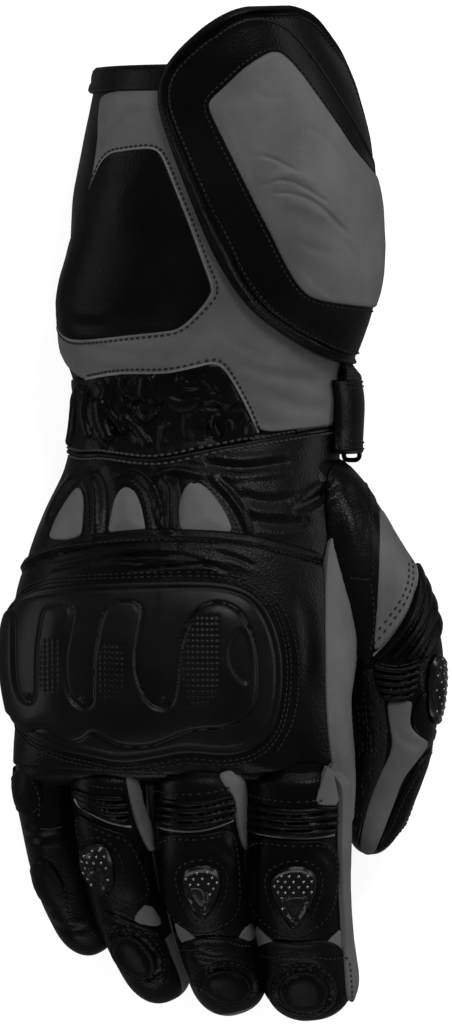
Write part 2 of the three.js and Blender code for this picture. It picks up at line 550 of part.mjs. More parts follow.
// Thumb: grey panel, accordion, grey gusset, guard and dark inner panel
add('thumb_panel', patch(thumb, [[0.2, 56, 70], [0.25, 38, 74], [0.31, 22, 78], [0.37, 8, 74], [0.42, 0, 52], [0.46, -6, 28], [0.49, -9, 8]], { thick: soft, cols: 5 }));
add('thumb_accordion', patch(thumb, finer([[0.385, 84, 104], [0.43, 62, 102], [0.48, 34, 84], [0.53, 4, 54], [0.575, -14, 30], [0.605, -16, 14]], 9), { thick: ridges, cols: 5 }));
add('thumb_gusset', patch(thumb, [[0.622, -4, 17], [0.68, -4, 22], [0.725, -4, 34], [0.745, -4, 46], [0.775, -5, 33], [0.83, -10, 25], [0.88, -12, 20], [0.925, -12, 18]], { thick: crown(0.8, 0.4), cols: 4 }));
add('thumb_guard', patch(thumb, oval(0.6, 66, 0.07, 24, 6), { thick: crown(1.4, 1.4), cols: 5 }));
add('thumb_inner_panel', patch(thumb, [[0.48, -52, -28], [0.55, -72, -26], [0.64, -80, -24], [0.74, -80, -14], [0.83, -76, -20], [0.9, -64, -26]], { thick: 1.0, cols: 5 }).subtract(nextTo));

// Looks of the leather, the moulded guards and the wire
const look = (color, roughness, metalness = 0) => new THREE.MeshStandardMaterial({ color, roughness, metalness });
const LOOKS = {
  black: () => look('#121212', 0.5),
  grey: () => look('#555555', 0.55),
  moulded: () => look('#171717', 0.42),
  shield: () => look('#0e0e0f', 0.3, 0.2),
  webbing: () => look('#2a2a2a', 0.8),
  steel: () => look('#6f7174', 0.35, 1),
};
const GREY = ['cuff_top_panel', 'flap_pad', 'tendon_insert_1', 'tendon_insert_2', 'tendon_insert_3', 'hand_side_strip',
  'index_side_strip', 'middle_side_strip', 'ring_side_strip', 'thumb_panel', 'thumb_gusset',
  'index_finger', 'middle_finger', 'ring_finger'];
const SHIELDS = ['index_guard', 'middle_guard', 'ring_guard', 'thumb_guard'];
const lookOf = (name) => {
  if (GREY.includes(name)) return LOOKS.grey();
  if (SHIELDS.includes(name)) return LOOKS.shield();
  if (name === 'knuckle_guard') return LOOKS.moulded();
  if (name === 'wrist_strap') return LOOKS.webbing();
  if (name === 'strap_ring') return LOOKS.steel();
  return LOOKS.black();
};

// The pieces as named meshes in groups, centred over the origin and standing on z = 0
const glove = new THREE.Group();
const sections = {};
const sectionOf = (name) => {
  const first = name.split('_')[0];
  if (['index', 'middle', 'ring', 'little', 'thumb'].includes(first)) return first;
  return ['gauntlet', 'cuff', 'flap', 'wrist', 'strap'].includes(first) ? 'cuff' : 'hand';
};
for (const [name, solid] of pieces) {
  const { vertProperties, triVerts } = solid.getMesh();
  let geometry = new THREE.BufferGeometry();
  geometry.setAttribute('position', new THREE.BufferAttribute(new Float32Array(vertProperties), 3));
  geometry.setIndex(new THREE.BufferAttribute(new Uint32Array(triVerts), 1));
  geometry = mergeVertices(geometry, 1e-5);
  geometry.computeVertexNormals();
  const mesh = new THREE.Mesh(geometry, lookOf(name));
  mesh.name = name;
  const section = sectionOf(name);
  if (!sections[section]) {
    sections[section] = new THREE.Group();
    glove.add(sections[section]);
  }
  sections[section].add(mesh);
}
const bounds = new THREE.Box3().setFromObject(glove, true);
const centre = bounds.getCenter(new THREE.Vector3());
glove.position.set(-centre.x, -centre.y, -bounds.min.z);
const part = new THREE.Group();
part.add(glove);

export default part;
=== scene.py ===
# %% [markdown]
# # A leather gauntlet glove
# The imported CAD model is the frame: it says how big the glove is and where each piece lies.
# Around it this lesson sews the glove that is seen: leather shells, padded panels, piping,
# stitches, ribbed folds and moulded guards. Sizes are in millimetres until a mesh is made.

# %% The frame
import math

import bmesh
import bpy
import numpy as np
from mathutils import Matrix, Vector
from mathutils.bvhtree import BVHTree
from mathutils.geometry import delaunay_2d_cdt


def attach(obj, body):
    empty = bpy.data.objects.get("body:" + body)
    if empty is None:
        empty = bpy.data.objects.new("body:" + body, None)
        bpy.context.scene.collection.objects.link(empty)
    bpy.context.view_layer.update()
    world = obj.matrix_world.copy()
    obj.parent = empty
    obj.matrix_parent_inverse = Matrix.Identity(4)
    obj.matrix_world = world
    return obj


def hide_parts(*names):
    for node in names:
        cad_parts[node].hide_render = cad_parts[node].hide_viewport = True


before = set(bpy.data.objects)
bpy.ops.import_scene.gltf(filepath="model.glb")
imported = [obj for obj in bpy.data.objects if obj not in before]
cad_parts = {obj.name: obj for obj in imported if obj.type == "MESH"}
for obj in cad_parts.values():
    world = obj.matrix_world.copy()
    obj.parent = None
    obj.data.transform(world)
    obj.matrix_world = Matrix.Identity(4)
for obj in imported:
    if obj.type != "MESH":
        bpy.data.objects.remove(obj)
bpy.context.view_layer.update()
MM = 0.001
PIXEL = 0.329          # mm of glove in one pixel of the photograph


def spot(px, py):
    """The place in plan, in mm, under a pixel of the photograph."""
    return np.array([(px - 219.5) * PIXEL, (514.8 - py) * PIXEL])


def deselect():
    """Nothing is selected and nothing is active, so an operator acts on new pieces alone."""
    bpy.ops.object.select_all(action="DESELECT")
    bpy.context.view_layer.objects.active = None


deselect()

# %% [markdown]
# ## Camera and light
# The photograph looks straight down on the back of the hand, from far off, so a long lens
# five metres up gives the same flat view. Black leather reads by its highlights: the light
# comes in low from large soft boxes at the sides, which keeps the flat leather dark and
# lets the edges shine, and one small box higher up puts a glint on every fold.

# %% Camera and light
HIGH = 5.0             # metres above the table
SEEN = 1034 * PIXEL * MM
centre = spot(226, 512) * MM
bpy.ops.object.camera_add(location=(centre[0], centre[1], HIGH), rotation=(0, 0, 0))
camera = bpy.context.object
camera.data.sensor_fit = "VERTICAL"
camera.data.sensor_height = 36
camera.data.lens = 36 * (HIGH - 0.035) / SEEN
bpy.context.scene.camera = camera


def soft_box(name, place, size, power, spread=math.pi):
    """A large area light that faces the middle of the glove."""
    bpy.ops.object.light_add(type="AREA", location=place)
    lamp = bpy.context.object
    lamp.name = name
    lamp.data.shape = "RECTANGLE"
    lamp.data.size, lamp.data.size_y = size
    lamp.data.energy = power
    lamp.data.spread = spread
    lamp.rotation_euler = (Vector((0, 0, 0.03)) - Vector(place)).to_track_quat("-Z", "Y").to_euler()
    return lamp


soft_box("left_box", (-1.1, 0.1, 0.3), (1.1, 0.5), 2.1)
soft_box("right_box", (1.15, 0.25, 0.3), (1.0, 0.45), 2.8)
soft_box("far_box", (0.1, 1.2, 0.4), (0.9, 0.35), 1.7)
soft_box("near_box", (-0.1, -1.2, 0.4), (0.9, 0.35), 1.9)
soft_box("key_box", (0.35, 0.75, 1.0), (0.45, 0.22), 3.2)
world = bpy.data.worlds.new("studio")
world.use_nodes = True
world.node_tree.nodes["Background"].inputs["Color"].default_value = (1, 1, 1, 1)
world.node_tree.nodes["Background"].inputs["Strength"].default_value = 0.12
bpy.context.scene.world = world
bpy.context.scene.view_settings.view_transform = "Standard"
bpy.context.scene.view_settings.look = "None"

# %% [markdown]
# ## Finishes
# Each finish is a small net of nodes. Leather is a grain of tiny cells over slow changes
# in tone and gloss. One function adds a node with its settings and links, and colours are
# written as sRGB hex, as a colour picker gives them.


# %% Node and colour helpers
def rgb(code):
    """A hex sRGB colour as linear RGBA."""
    out = []
    for i in (1, 3, 5):
        c = int(code[i:i + 2], 16) / 255
        out.append(c / 12.92 if c <= 0.04045 else ((c + 0.055) / 1.055) ** 2.4)
    return (*out, 1.0)


def node(tree, kind, settings=None, **inputs):
    """Adds a node: settings are its own options, inputs are numbers, colours or links."""
    made = tree.nodes.new("ShaderNode" + kind)
    for key, value in (settings or {}).items():
        setattr(made, key, value)
    for key, value in inputs.items():
        place = made.inputs[int(key[1:])] if key[0] == "i" and key[1:].isdigit() else made.inputs[key.replace("_", " ")]
        if isinstance(value, bpy.types.NodeSocket):
            tree.links.new(value, place)
        else:
            place.default_value = value
    return made


def finish(name):
    """A new material with its tree, its Principled shader and its object coordinates."""
    material = bpy.data.materials.new(name)
    material.use_nodes = True
    tree = material.node_tree
    shader = tree.nodes["Principled BSDF"]
    where = node(tree, "TexCoord").outputs["Object"]
    return material, tree, shader, where


def blend(tree, share, dark, light):
    """A colour between two hex colours, by a share from 0 to 1."""
    return node(tree, "Mix", {"data_type": "RGBA"}, i0=share, i6=rgb(dark), i7=rgb(light)).outputs[2]


def spread_out(tree, value, low, high, to_low=0.0, to_high=1.0):
    """The value's range from low to high is stretched to another range."""
    return node(tree, "MapRange", None, i0=value, i1=low, i2=high, i3=to_low, i4=to_high).outputs[0]

# %% [markdown]
# Full-grain leather is dyed, then sprayed with a thin clear film. The grain is cells about
# 1 mm wide. The film is smooth on the high spots and duller in the grain, and handling
# polishes it in patches, so roughness varies slowly. It is drawn a little coarser than
# real grain so that it shows at this size.


# %% Leather
def leather(name, dark, light, gloss, cell=0.6, relief=0.13, patchy=0.08, shine=0.17):
    """Leather: cell is the width of its grain in mm, gloss the roughness of its film."""
    material, tree, shader, where = finish(name)
    grain = node(tree, "TexVoronoi", {"feature": "SMOOTH_F1"}, Vector=where, Scale=1 / (cell * MM), Smoothness=0.35)
    tone = node(tree, "TexNoise", None, Vector=where, Scale=38, Detail=5, Roughness=0.6)
    fine = node(tree, "TexNoise", None, Vector=where, Scale=2600, Detail=2)
    share = spread_out(tree, tone.outputs[0], 0.34, 0.68)
    tree.links.new(blend(tree, share, dark, light), shader.inputs["Base Color"])
    rough = spread_out(tree, tone.outputs[0], 0.35, 0.65, gloss - patchy, gloss + patchy)
    tree.links.new(rough, shader.inputs["Roughness"])
    height = node(tree, "Math", {"operation": "MULTIPLY_ADD"}, i0=fine.outputs[0], i1=0.25, i2=grain.outputs[0])
    bump = node(tree, "Bump", None, Strength=relief, Distance=0.0004, Height=height.outputs[0])
    tree.links.new(bump.outputs[0], shader.inputs["Normal"])
    shader.inputs["IOR"].default_value = 1.46
    shader.inputs["Specular IOR Level"].default_value = shine
    return material


black_leather = leather("black_grain_leather", "#080808", "#101010", 0.33, cell=0.75, relief=0.2)
pad_leather = leather("black_padded_leather", "#080808", "#101010", 0.38, cell=0.75, relief=0.18, shine=0.13)
grey_leather = leather("grey_smooth_leather", "#6e6e6e", "#838383", 0.48, relief=0.12, shine=0.3)

# %% [markdown]
# The knuckle guard is moulded in a dark rubbery plastic with a satin skin. The small
# finger guards are glossy, with bright studs. Piping is leather rolled over a cord, and
# the thread is bonded nylon, a little shinier than the leather. Webbing is woven.


# %% Plastic, thread, webbing and wire
def plastic(name, dark, light, gloss, grit, relief):
    """A moulded plastic: grit is the width of its texture in mm."""
    material, tree, shader, where = finish(name)
    fine = node(tree, "TexNoise", None, Vector=where, Scale=1 / (grit * MM), Detail=3)
    slow = node(tree, "TexNoise", None, Vector=where, Scale=55, Detail=3)
    tree.links.new(blend(tree, spread_out(tree, slow.outputs[0], 0.35, 0.65), dark, light), shader.inputs["Base Color"])
    tree.links.new(spread_out(tree, slow.outputs[0], 0.3, 0.7, gloss - 0.05, gloss + 0.06), shader.inputs["Roughness"])
    bump = node(tree, "Bump", None, Strength=relief, Distance=0.0002, Height=fine.outputs[0])
    tree.links.new(bump.outputs[0], shader.inputs["Normal"])
    shader.inputs["Specular IOR Level"].default_value = 0.24
    return material


guard_plastic = plastic("moulded_satin_plastic", "#0a0a0a", "#121212", 0.36, 0.5, 0.2)
thread_finish = plastic("bonded_nylon_thread", "#1c1c1e", "#303032", 0.3, 0.3, 0.3)
# The wrist seam's thread is painted lighter than the other thread: a painted highlight on its thick stitches.
heavy_thread_painted_highlight = plastic("heavy_seam_thread", "#3c3c3e", "#5a5a5c", 0.32, 0.3, 0.3)
# The grey piping is painted paler than the grey leather it is cut from: a painted highlight along its rolled cord.
grey_piping_painted_highlight = plastic("grey_leather_piping", "#858585", "#9c9c9c", 0.42, 0.6, 0.3)
black_piping = plastic("black_leather_piping", "#0b0b0b", "#151515", 0.38, 0.6, 0.3)

def lacquer(name, dark, light, metal):
    """A glossy hard skin with faint ripples and small scuffs."""
    material, tree, shader, where = finish(name)
    ripple = node(tree, "TexNoise", None, Vector=where, Scale=420, Detail=3)
    tree.links.new(blend(tree, ripple.outputs[0], dark, light), shader.inputs["Base Color"])
    tree.links.new(spread_out(tree, ripple.outputs[0], 0.3, 0.7, 0.16, 0.3), shader.inputs["Roughness"])
    bump = node(tree, "Bump", None, Strength=0.25, Distance=0.0003, Height=ripple.outputs[0])
    tree.links.new(bump.outputs[0], shader.inputs["Normal"])
    shader.inputs["Metallic"].default_value = metal
    return material


shield_gloss = lacquer("glossy_black_shield", "#040405", "#0c0c0d", 0.0)
stud_gloss = lacquer("bright_shield_stud", "#9a9a9c", "#c4c4c6", 1.0)

material, tree, shader, where = finish("woven_elastic_webbing")
weft = node(tree, "TexWave", {"bands_direction": "Y"}, Vector=where, Scale=260, Distortion=0.6)
warp = node(tree, "TexWave", {"bands_direction": "X"}, Vector=where, Scale=420, Distortion=0.4)
weave = node(tree, "Math", {"operation": "MULTIPLY"}, i0=weft.outputs["Fac"], i1=warp.outputs["Fac"]).outputs[0]
tree.links.new(blend(tree, weave, "#121212", "#2e2e2e"), shader.inputs["Base Color"])
shader.inputs["Roughness"].default_value = 0.8
bump = node(tree, "Bump", None, Strength=0.6, Distance=0.0004, Height=weave)
tree.links.new(bump.outputs[0], shader.inputs["Normal"])
webbing = material

material, tree, shader, where = finish("blackened_steel_wire")
scuff = node(tree, "TexNoise", None, Vector=where, Scale=700, Detail=4)
tree.links.new(blend(tree, scuff.outputs[0], "#1c1c1d", "#3a3a3c"), shader.inputs["Base Color"])
tree.links.new(spread_out(tree, scuff.outputs[0], 0.3, 0.7, 0.25, 0.5), shader.inputs["Roughness"])
shader.inputs["Metallic"].default_value = 1.0
wire_steel = material

material, tree, shader, where = finish("brushed_knit_lining")
knit = node(tree, "TexVoronoi", None, Vector=where, Scale=800)
tree.links.new(blend(tree, knit.outputs["Distance"], "#191919", "#0d0d0d"), shader.inputs["Base Color"])
shader.inputs["Roughness"].default_value = 0.95
bump = node(tree, "Bump", None, Strength=0.5, Distance=0.0003, Height=knit.outputs["Distance"])
tree.links.new(bump.outputs[0], shader.inputs["Normal"])
lining = material

material, tree, shader, where = finish("perforated_dark_grip")
holes = node(tree, "TexVoronoi", {"feature": "F1"}, Vector=where, Scale=420, Randomness=0.25)
pits = spread_out(tree, holes.outputs["Distance"], 0.18, 0.3)
# The holes are painted darker than the leather round them: painted shade inside the holes.
tree.links.new(blend(tree, pits, "#030303", "#0d0d0d"), shader.inputs["Base Color"])
tree.links.new(spread_out(tree, pits, 0, 1, 0.7, 0.42), shader.inputs["Roughness"])
bump = node(tree, "Bump", None, Strength=0.7, Distance=0.0006, Height=pits)
tree.links.new(bump.outputs[0], shader.inputs["Normal"])
grip = material

# %% [markdown]
# ## The forms that carry everything
# A glove is a set of tubes: the cuff, the hand and five digits. Each one here is a row of
# cross-sections, each with its middle, half width and height, and a smooth run between
# them. A place on a tube is an angle from the top and a share of its length, so a panel
# can be cut out flat, as a glove maker cuts leather, and then laid round the tube.


# %% Tubes
def glide(rows, t):
    """A smooth run through rows of numbers, each row starting with its place t."""
    t = np.atleast_1d(np.asarray(t, float))
    marks, values = rows[:, 0], rows[:, 1:]
    count = len(marks)
    i = np.clip(np.searchsorted(marks, t, side="right") - 1, 0, count - 2)
    step = (marks[i + 1] - marks[i])[:, None]
    u = (t - marks[i])[:, None] / step
    before, after = np.clip(np.arange(count) - 1, 0, None), np.clip(np.arange(count) + 1, None, count - 1)
    slope = (values[after] - values[before]) / (marks[after] - marks[before])[:, None]
    a, b = values[i], values[i + 1]
    m, n = slope[i] * step, slope[i + 1] * step
    return (2 * u**3 - 3 * u**2 + 1) * a + (u**3 - 2 * u**2 + u) * m + (3 * u**2 - 2 * u**3) * b + (u**3 - u**2) * n


def unit(v):
    return v / np.maximum(np.linalg.norm(v, axis=-1, keepdims=True), 1e-9)


def noise(p, size, seed=0):
    """Smooth value noise from -1 to 1 whose bumps are about size mm across."""
    q = p / size + 100.0 + 17.31 * seed
    cell = np.floor(q).astype(np.int64)
    f = q - cell
    f = f * f * (3 - 2 * f)
    total = np.zeros(len(p))
    for dx in (0, 1):
        for dy in (0, 1):
            for dz in (0, 1):
                key = (cell[:, 0] + dx) * 374761393 + (cell[:, 1] + dy) * 668265263 + (cell[:, 2] + dz) * 2147483629
                key = (key ^ (key >> 13)) * 1274126177 & 0x7FFFFFFF
                value = ((key ^ (key >> 16)) & 0xFFFF) / 32767.5 - 1
                share = np.abs(1 - dx - f[:, 0]) * np.abs(1 - dy - f[:, 1]) * np.abs(1 - dz - f[:, 2])
                total += share * value
    return total


def reach(points, line, closed=False):
    """The distance of each point to a line of straight runs, and how far along it is, 0 to 1."""
    a = line if closed else line[:-1]
    b = np.roll(line, -1, axis=0) if closed else line[1:]
    ab = b - a
    long = np.maximum((ab**2).sum(1), 1e-12)
    best, along = np.full(len(points), 1e9), np.zeros(len(points))
    for k in range(len(a)):
        u = np.clip(((points - a[k]) @ ab[k]) / long[k], 0, 1)
        gap = np.linalg.norm(points - a[k] - u[:, None] * ab[k], axis=1)
        near = gap < best
        best[near], along[near] = gap[near], (k + u[near]) / len(a)
    return best, along


CREASES = []           # (line in plan, depth, width), all in mm


def crease(depth, width, *pixels):
    """A fold in the leather along pixels of the photograph."""
    CREASES.append((rounded(np.array([spot(*p) for p in pixels]), False), depth, width))


def rounded(line, closed, times=3):
    """A line of straight runs with its corners cut again and again, which makes it a curve."""
    for _ in range(times):
        ahead = np.roll(line, -1, axis=0) if closed else line[1:]
        here = line if closed else line[:-1]
        cut = np.stack([0.75 * here + 0.25 * ahead, 0.25 * here + 0.75 * ahead], axis=1).reshape(-1, line.shape[1])
        line = cut if closed else np.vstack([line[:1], cut, line[-1:]])
    return line


def folds(places, normals):
    """How far soft leather stands out or in at these places, in mm."""
    out = 0.32 * noise(places, 24, 1) + 0.16 * noise(places, 10, 2) + 0.05 * noise(places, 4, 3)
    waist = np.interp(places[:, 1], [-87, -77, -66, -34, -16, 8, 36, 44, 54], [0, 1.6, 3.2, 3.2, 2.7, 3.2, 3.4, 2.4, 0])
    out -= waist * np.clip(-normals[:, 0], 0, 1) * (places[:, 0] < -20)
    up = np.clip((normals[:, 2] - 0.05) * 3, 0, 1)
    for line, depth, width in CREASES:
        low, high = line.min(0) - 4 * width, line.max(0) + 4 * width
        near = np.where(((places[:, :2] > low) & (places[:, :2] < high)).all(1))[0]
        if len(near) == 0:
            continue
        gap, along = reach(places[near, :2], line)
        fade = np.sin(np.pi * np.clip(along, 0.02, 0.98)) ** 0.7 * up[near]
        out[near] += depth * fade * (0.55 * np.exp(-(((gap - 2 * width) / width) ** 2)) - np.exp(-((gap / width) ** 2)))
    return out


class Tube:
    """A form from rows [t, x, y, z, half width, up, down], flattened where it rests."""

    def __init__(self, rows, top, bottom, length, tip=0.0, straight=False, sign=-1):
        self.rows, self.top, self.bottom, self.length = np.array(rows), top, bottom, length
        self.tip, self.straight, self.sign = tip, straight, sign
        self.around = float(np.mean(self.rows[:, 4])) * math.pi / 180 * 0.92

    def section(self, t):
        v = glide(self.rows, t)
        if self.straight:
            forward = np.tile([0.0, -1.0, 0.0], (len(v), 1))
        else:
            forward = unit(glide(self.rows, t + 0.001)[:, :3] - glide(self.rows, t - 0.001)[:, :3])
        side = unit(np.cross([0.0, 0.0, 1.0], forward))
        return v, side, np.cross(forward, side), forward

    def point(self, th, t):
        th, t = np.broadcast_arrays(np.atleast_1d(th).astype(float), np.atleast_1d(t).astype(float))
        v, side, up, _ = self.section(t)
        wide, over, under = v[:, 3].copy(), v[:, 4].copy(), v[:, 5].copy()
        if self.tip:
            q = np.clip((t - (1 - self.tip)) / self.tip, 0, 1)
            cap = np.maximum(1 - q**2.4, 0) ** (1 / 2.4)
            wide, over, under = wide * cap, over * cap, under * cap
        s, c = np.sin(np.radians(th)), np.cos(np.radians(th))
        power = np.where(c >= 0, self.top, self.bottom)
        a = wide * np.sign(s) * np.abs(s) ** (2 / power)
        b = np.where(c >= 0, over, under) * np.sign(c) * np.abs(c) ** (2 / power)
        place = v[:, :3] + side * a[:, None] + up * b[:, None]
        place[:, 2] = np.maximum(place[:, 2], 0)
        return place

    def normal(self, th, t):
        th, t = np.broadcast_arrays(np.atleast_1d(th).astype(float), np.atleast_1d(t).astype(float))
        across = self.point(th + 1.5, t) - self.point(th - 1.5, t)
        along = self.point(th, np.minimum(t + 0.004, 1.17)) - self.point(th, t - 0.004)
        n = unit(np.cross(across, along))
        out = self.point(th, t) - self.section(t)[0][:, :3]
        n[(n * out).sum(1) < 0] *= -1
        return n

    def at(self, th, t, d=0.0, soft=1.0):
        """Places d mm above the surface, with the leather's own folds."""
        place, n = self.point(th, t), self.normal(th, t)
        rise = d + (soft * folds(place, n) if soft else 0.0)
        place = place + n * np.broadcast_to(rise, (len(place),))[:, None]
        place[:, 2] = np.maximum(place[:, 2], 0)
        return place

    def find(self, xy):
        """The angle and the share of length that lie under places in plan, past the edge too."""
        xy = np.atleast_2d(xy)
        low, high = np.full(len(xy), -0.09), np.full(len(xy), 1.17 if self.straight else 1.0)
        if self.sign > 0:
            low[:] = -0.097
        for _ in range(40):
            t = (low + high) / 2
            ahead, _, _ = self._over(xy, t)
            low, high = np.where(ahead > 0, t, low), np.where(ahead > 0, high, t)
        _, share, over = self._over(xy, t)
        power = self.top / 2
        th = np.degrees(np.arcsin(np.clip(np.abs(share), 0, 1) ** power)) + over
        return np.sign(share) * th, t

    def _over(self, xy, t):
        v, side, up, forward = self.section(t)
        wide, over = v[:, 3].copy(), v[:, 4].copy()
        if self.tip:
            q = np.clip((t - (1 - self.tip)) / self.tip, 0, 1)
            cap = np.maximum(1 - q**2.4, 1e-4) ** (1 / 2.4)
            wide, over = wide * cap, over * cap
        away = xy - v[:, :2]
        share = (away * side[:, :2]).sum(1) / wide
        rise = over * np.maximum(1 - np.abs(share) ** self.top, 0) ** (1 / self.top)
        flat = unit(forward[:, :2])
        ahead = ((away - up[:, :2] * rise[:, None]) * flat).sum(1)
        past = np.maximum(np.abs(share) - 1, 0) * wide / (np.maximum(over, 3) * 0.0152)
        return (-ahead if self.sign > 0 else ahead), share, past


cuff = Tube([
    [-0.098, -7.57, 14.06, 25.50, 47.84, 28.50, 28.50],
    [0.000, -6.08, 25.91, 23.50, 46.00, 26.50, 26.50],
    [0.092, -5.59, 37.05, 24.01, 45.56, 27.99, 27.99],
    [0.174, -5.89, 46.97, 24.99, 45.23, 30.01, 30.01],
    [0.269, -4.80, 58.46, 26.50, 48.39, 32.50, 32.50],
    [0.378, -2.62, 71.65, 28.01, 50.14, 34.99, 34.99],
    [0.514, -0.34, 88.11, 29.49, 49.50, 37.51, 37.51],
    [0.663, -0.05, 106.14, 30.99, 48.51, 39.01, 39.01],
    [0.799, 0.35, 122.59, 31.99, 45.89, 40.01, 40.01],
    [0.908, -0.05, 135.78, 33.01, 42.57, 39.99, 39.99],
    [1.000, -1.13, 146.91, 34.00, 39.45, 40.00, 40.00],
    [1.179, -4.40, 168.57, 35.51, 32.87, 39.49, 39.49],
], 2.2, 2.6, 121.0, straight=True, sign=1)
hand = Tube([
    [0.000, -6.08, 25.91, 23.52, 46.00, 26.48, 26.48],
    [0.097, -7.60, 14.66, 25.52, 47.52, 28.48, 28.48],
    [0.210, -9.58, 1.55, 27.52, 51.14, 30.48, 30.48],
    [0.352, -11.56, -14.92, 30.01, 54.75, 31.99, 31.99],
    [0.494, -12.96, -31.39, 33.00, 57.61, 32.01, 32.01],
    [0.636, -13.31, -47.86, 35.51, 58.25, 30.49, 30.49],
    [0.778, -13.19, -64.33, 36.99, 56.79, 28.02, 28.02],
    [0.906, -12.49, -79.18, 37.50, 56.09, 24.50, 24.50],
    [1.000, -11.68, -90.09, 37.51, 55.28, 19.50, 19.50],
    [1.120, -10.75, -104.01, 37.49, 54.17, 15.71, 15.71],
], 2.3, 2.6, 116.0, straight=True)
index = Tube([
    [0.0000, 25.49, -75.93, 41.98, 16.80, 18.00, 18.00],
    [0.1983, 25.49, -94.04, 40.99, 16.80, 18.00, 18.00],
    [0.3787, 25.84, -110.51, 38.49, 16.46, 17.50, 17.50],
    [0.5601, 26.19, -127.08, 33.19, 15.81, 16.99, 16.99],
    [0.7236, 27.82, -141.91, 25.50, 15.49, 16.49, 16.49],
    [0.8697, 29.80, -155.10, 16.71, 15.49, 15.52, 15.52],
    [1.0000, 31.08, -166.93, 11.21, 14.82, 14.51, 14.51],
], 2.4, 2.4, 91.3, tip=0.16)
middle = Tube([
    [0.0000, -6.43, -72.57, 46.00, 15.15, 16.99, 16.99],
    [0.1937, -6.43, -90.69, 44.99, 14.82, 16.99, 16.99],
    [0.3873, -6.08, -108.82, 42.00, 14.50, 16.99, 16.99],
    [0.5642, -4.45, -125.28, 35.60, 14.17, 16.48, 16.48],
    [0.7272, -1.19, -140.19, 26.82, 13.84, 15.50, 15.50],
    [0.8751, 3.12, -153.34, 16.42, 13.50, 14.48, 14.48],
    [1.0000, 6.38, -164.57, 9.92, 12.85, 13.49, 13.49],
], 2.4, 2.4, 93.6, tip=0.16)
ring = Tube([
    [0.0000, -36.72, -72.57, 41.98, 13.79, 16.00, 16.00],
    [0.1800, -36.03, -89.03, 40.99, 13.46, 16.00, 16.00],
    [0.3789, -34.39, -107.15, 37.98, 13.13, 16.00, 16.00],
    [0.5625, -31.48, -123.70, 31.25, 12.81, 15.49, 15.49],
    [0.7146, -26.82, -136.81, 23.43, 12.48, 15.01, 15.01],
    [0.8651, -21.23, -149.39, 15.31, 11.82, 14.02, 14.02],
    [1.0000, -15.99, -160.57, 10.10, 10.84, 12.99, 12.99],
], 2.4, 2.4, 91.5, tip=0.16)
little = Tube([
    [0.0000, -58.39, -69.32, 32.01, 11.21, 14.99, 14.99],
    [0.1880, -58.04, -84.22, 31.00, 10.88, 14.99, 14.99],
    [0.3975, -56.06, -100.71, 27.49, 10.22, 14.48, 14.48],
    [0.5890, -53.15, -115.60, 22.16, 10.22, 14.00, 14.00],
    [0.7430, -49.19, -127.16, 16.82, 10.22, 13.49, 13.49],
    [0.8808, -44.53, -137.04, 12.51, 9.88, 12.50, 12.50],
    [1.0000, -39.99, -145.32, 9.84, 8.90, 11.49, 11.49],
], 2.4, 2.4, 79.3, tip=0.16)
thumb = Tube([
    [0.0000, 25.14, 19.65, 24.02, 9.86, 20.02, 21.98],
    [0.1213, 33.64, 4.81, 24.02, 15.11, 21.02, 24.00],
    [0.2769, 43.19, -14.93, 26.03, 18.07, 21.98, 26.02],
    [0.4339, 53.45, -34.54, 26.03, 18.40, 21.02, 26.02],
    [0.5782, 58.34, -54.28, 24.02, 16.43, 20.02, 24.00],
    [0.7184, 57.41, -74.03, 21.02, 13.47, 18.00, 21.02],
    [0.8502, 53.45, -92.18, 17.52, 11.50, 15.98, 18.00],
    [1.0000, 49.14, -112.85, 14.02, 8.87, 14.02, 14.02],
], 2.3, 2.4, 141.0, tip=0.12)
print("thumb tip, mm:", thumb.point(0, 1.0).round(1))

# %% [markdown]
# ## Making and placing pieces
# Every piece rides on the glove's one body. A new piece is given its finish, and says
# which CAD solids it stands for. Their places are already in the mesh, so no object is
# moved.

# %% Pieces
PIECES = {}


def keep(thing, look, kind, *stands_for, smooth=40):
    """A finished piece: its look, the solids it replaces and its body. kind, its slot in the record, is not used."""
    thing.data.materials.clear()
    thing.data.materials.append(look)
    deselect()
    thing.select_set(True)
    bpy.context.view_layer.objects.active = thing
    if smooth:
        bpy.ops.object.shade_smooth_by_angle(angle=math.radians(smooth))
    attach(thing, "root")
    if stands_for:
        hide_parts(*stands_for)
    deselect()
    PIECES[thing.name] = thing
    return thing


def mesh_piece(name, places, faces):
    """An object from places in mm and faces, with doubles merged and degenerate edges dissolved."""
    mesh = bpy.data.meshes.new(name)
    mesh.from_pydata((np.asarray(places) * MM).tolist(), [], faces)
    form = bmesh.new()
    form.from_mesh(mesh)
    bmesh.ops.remove_doubles(form, verts=form.verts, dist=2e-6)
    bmesh.ops.dissolve_degenerate(form, edges=form.edges, dist=1e-6)
    form.to_mesh(mesh)
    form.free()
    thing = bpy.data.objects.new(name, mesh)
    bpy.context.scene.collection.objects.link(thing)
    return thing


def wrapped_grid(name, tube, angles, marks, lift):
    """A grid primitive wrapped round a tube: its columns are angles and its rows shares of length."""
    deselect()
    bpy.ops.mesh.primitive_grid_add(x_subdivisions=len(angles) - 1, y_subdivisions=len(marks) - 1, size=1)
    thing = bpy.context.object
    thing.name = name
    count = len(thing.data.vertices)
    flat = np.empty(count * 3)
    thing.data.vertices.foreach_get("co", flat)
    flat = flat.reshape(-1, 3)
    i = np.rint((flat[:, 0] + 0.5) * (len(angles) - 1)).astype(int)
    j = np.rint((0.5 + flat[:, 1] * tube.sign) * (len(marks) - 1)).astype(int)
    th, t = np.asarray(angles)[i], np.asarray(marks)[j]
    places = tube.at(th, t, lift(th, t) if callable(lift) else lift)
    thing.data.vertices.foreach_set("co", (places * MM).ravel())
    thing.data.update()
    return thing
# %% [markdown]
# ## Where the leather bends
# A glove keeps a fold wherever a hand bends it, and padded ridges stand up between the
# flutes. They are set down before any leather is laid, as lines over the photograph with
# a depth and a width, so shells and panels share them. A negative depth is a ridge.

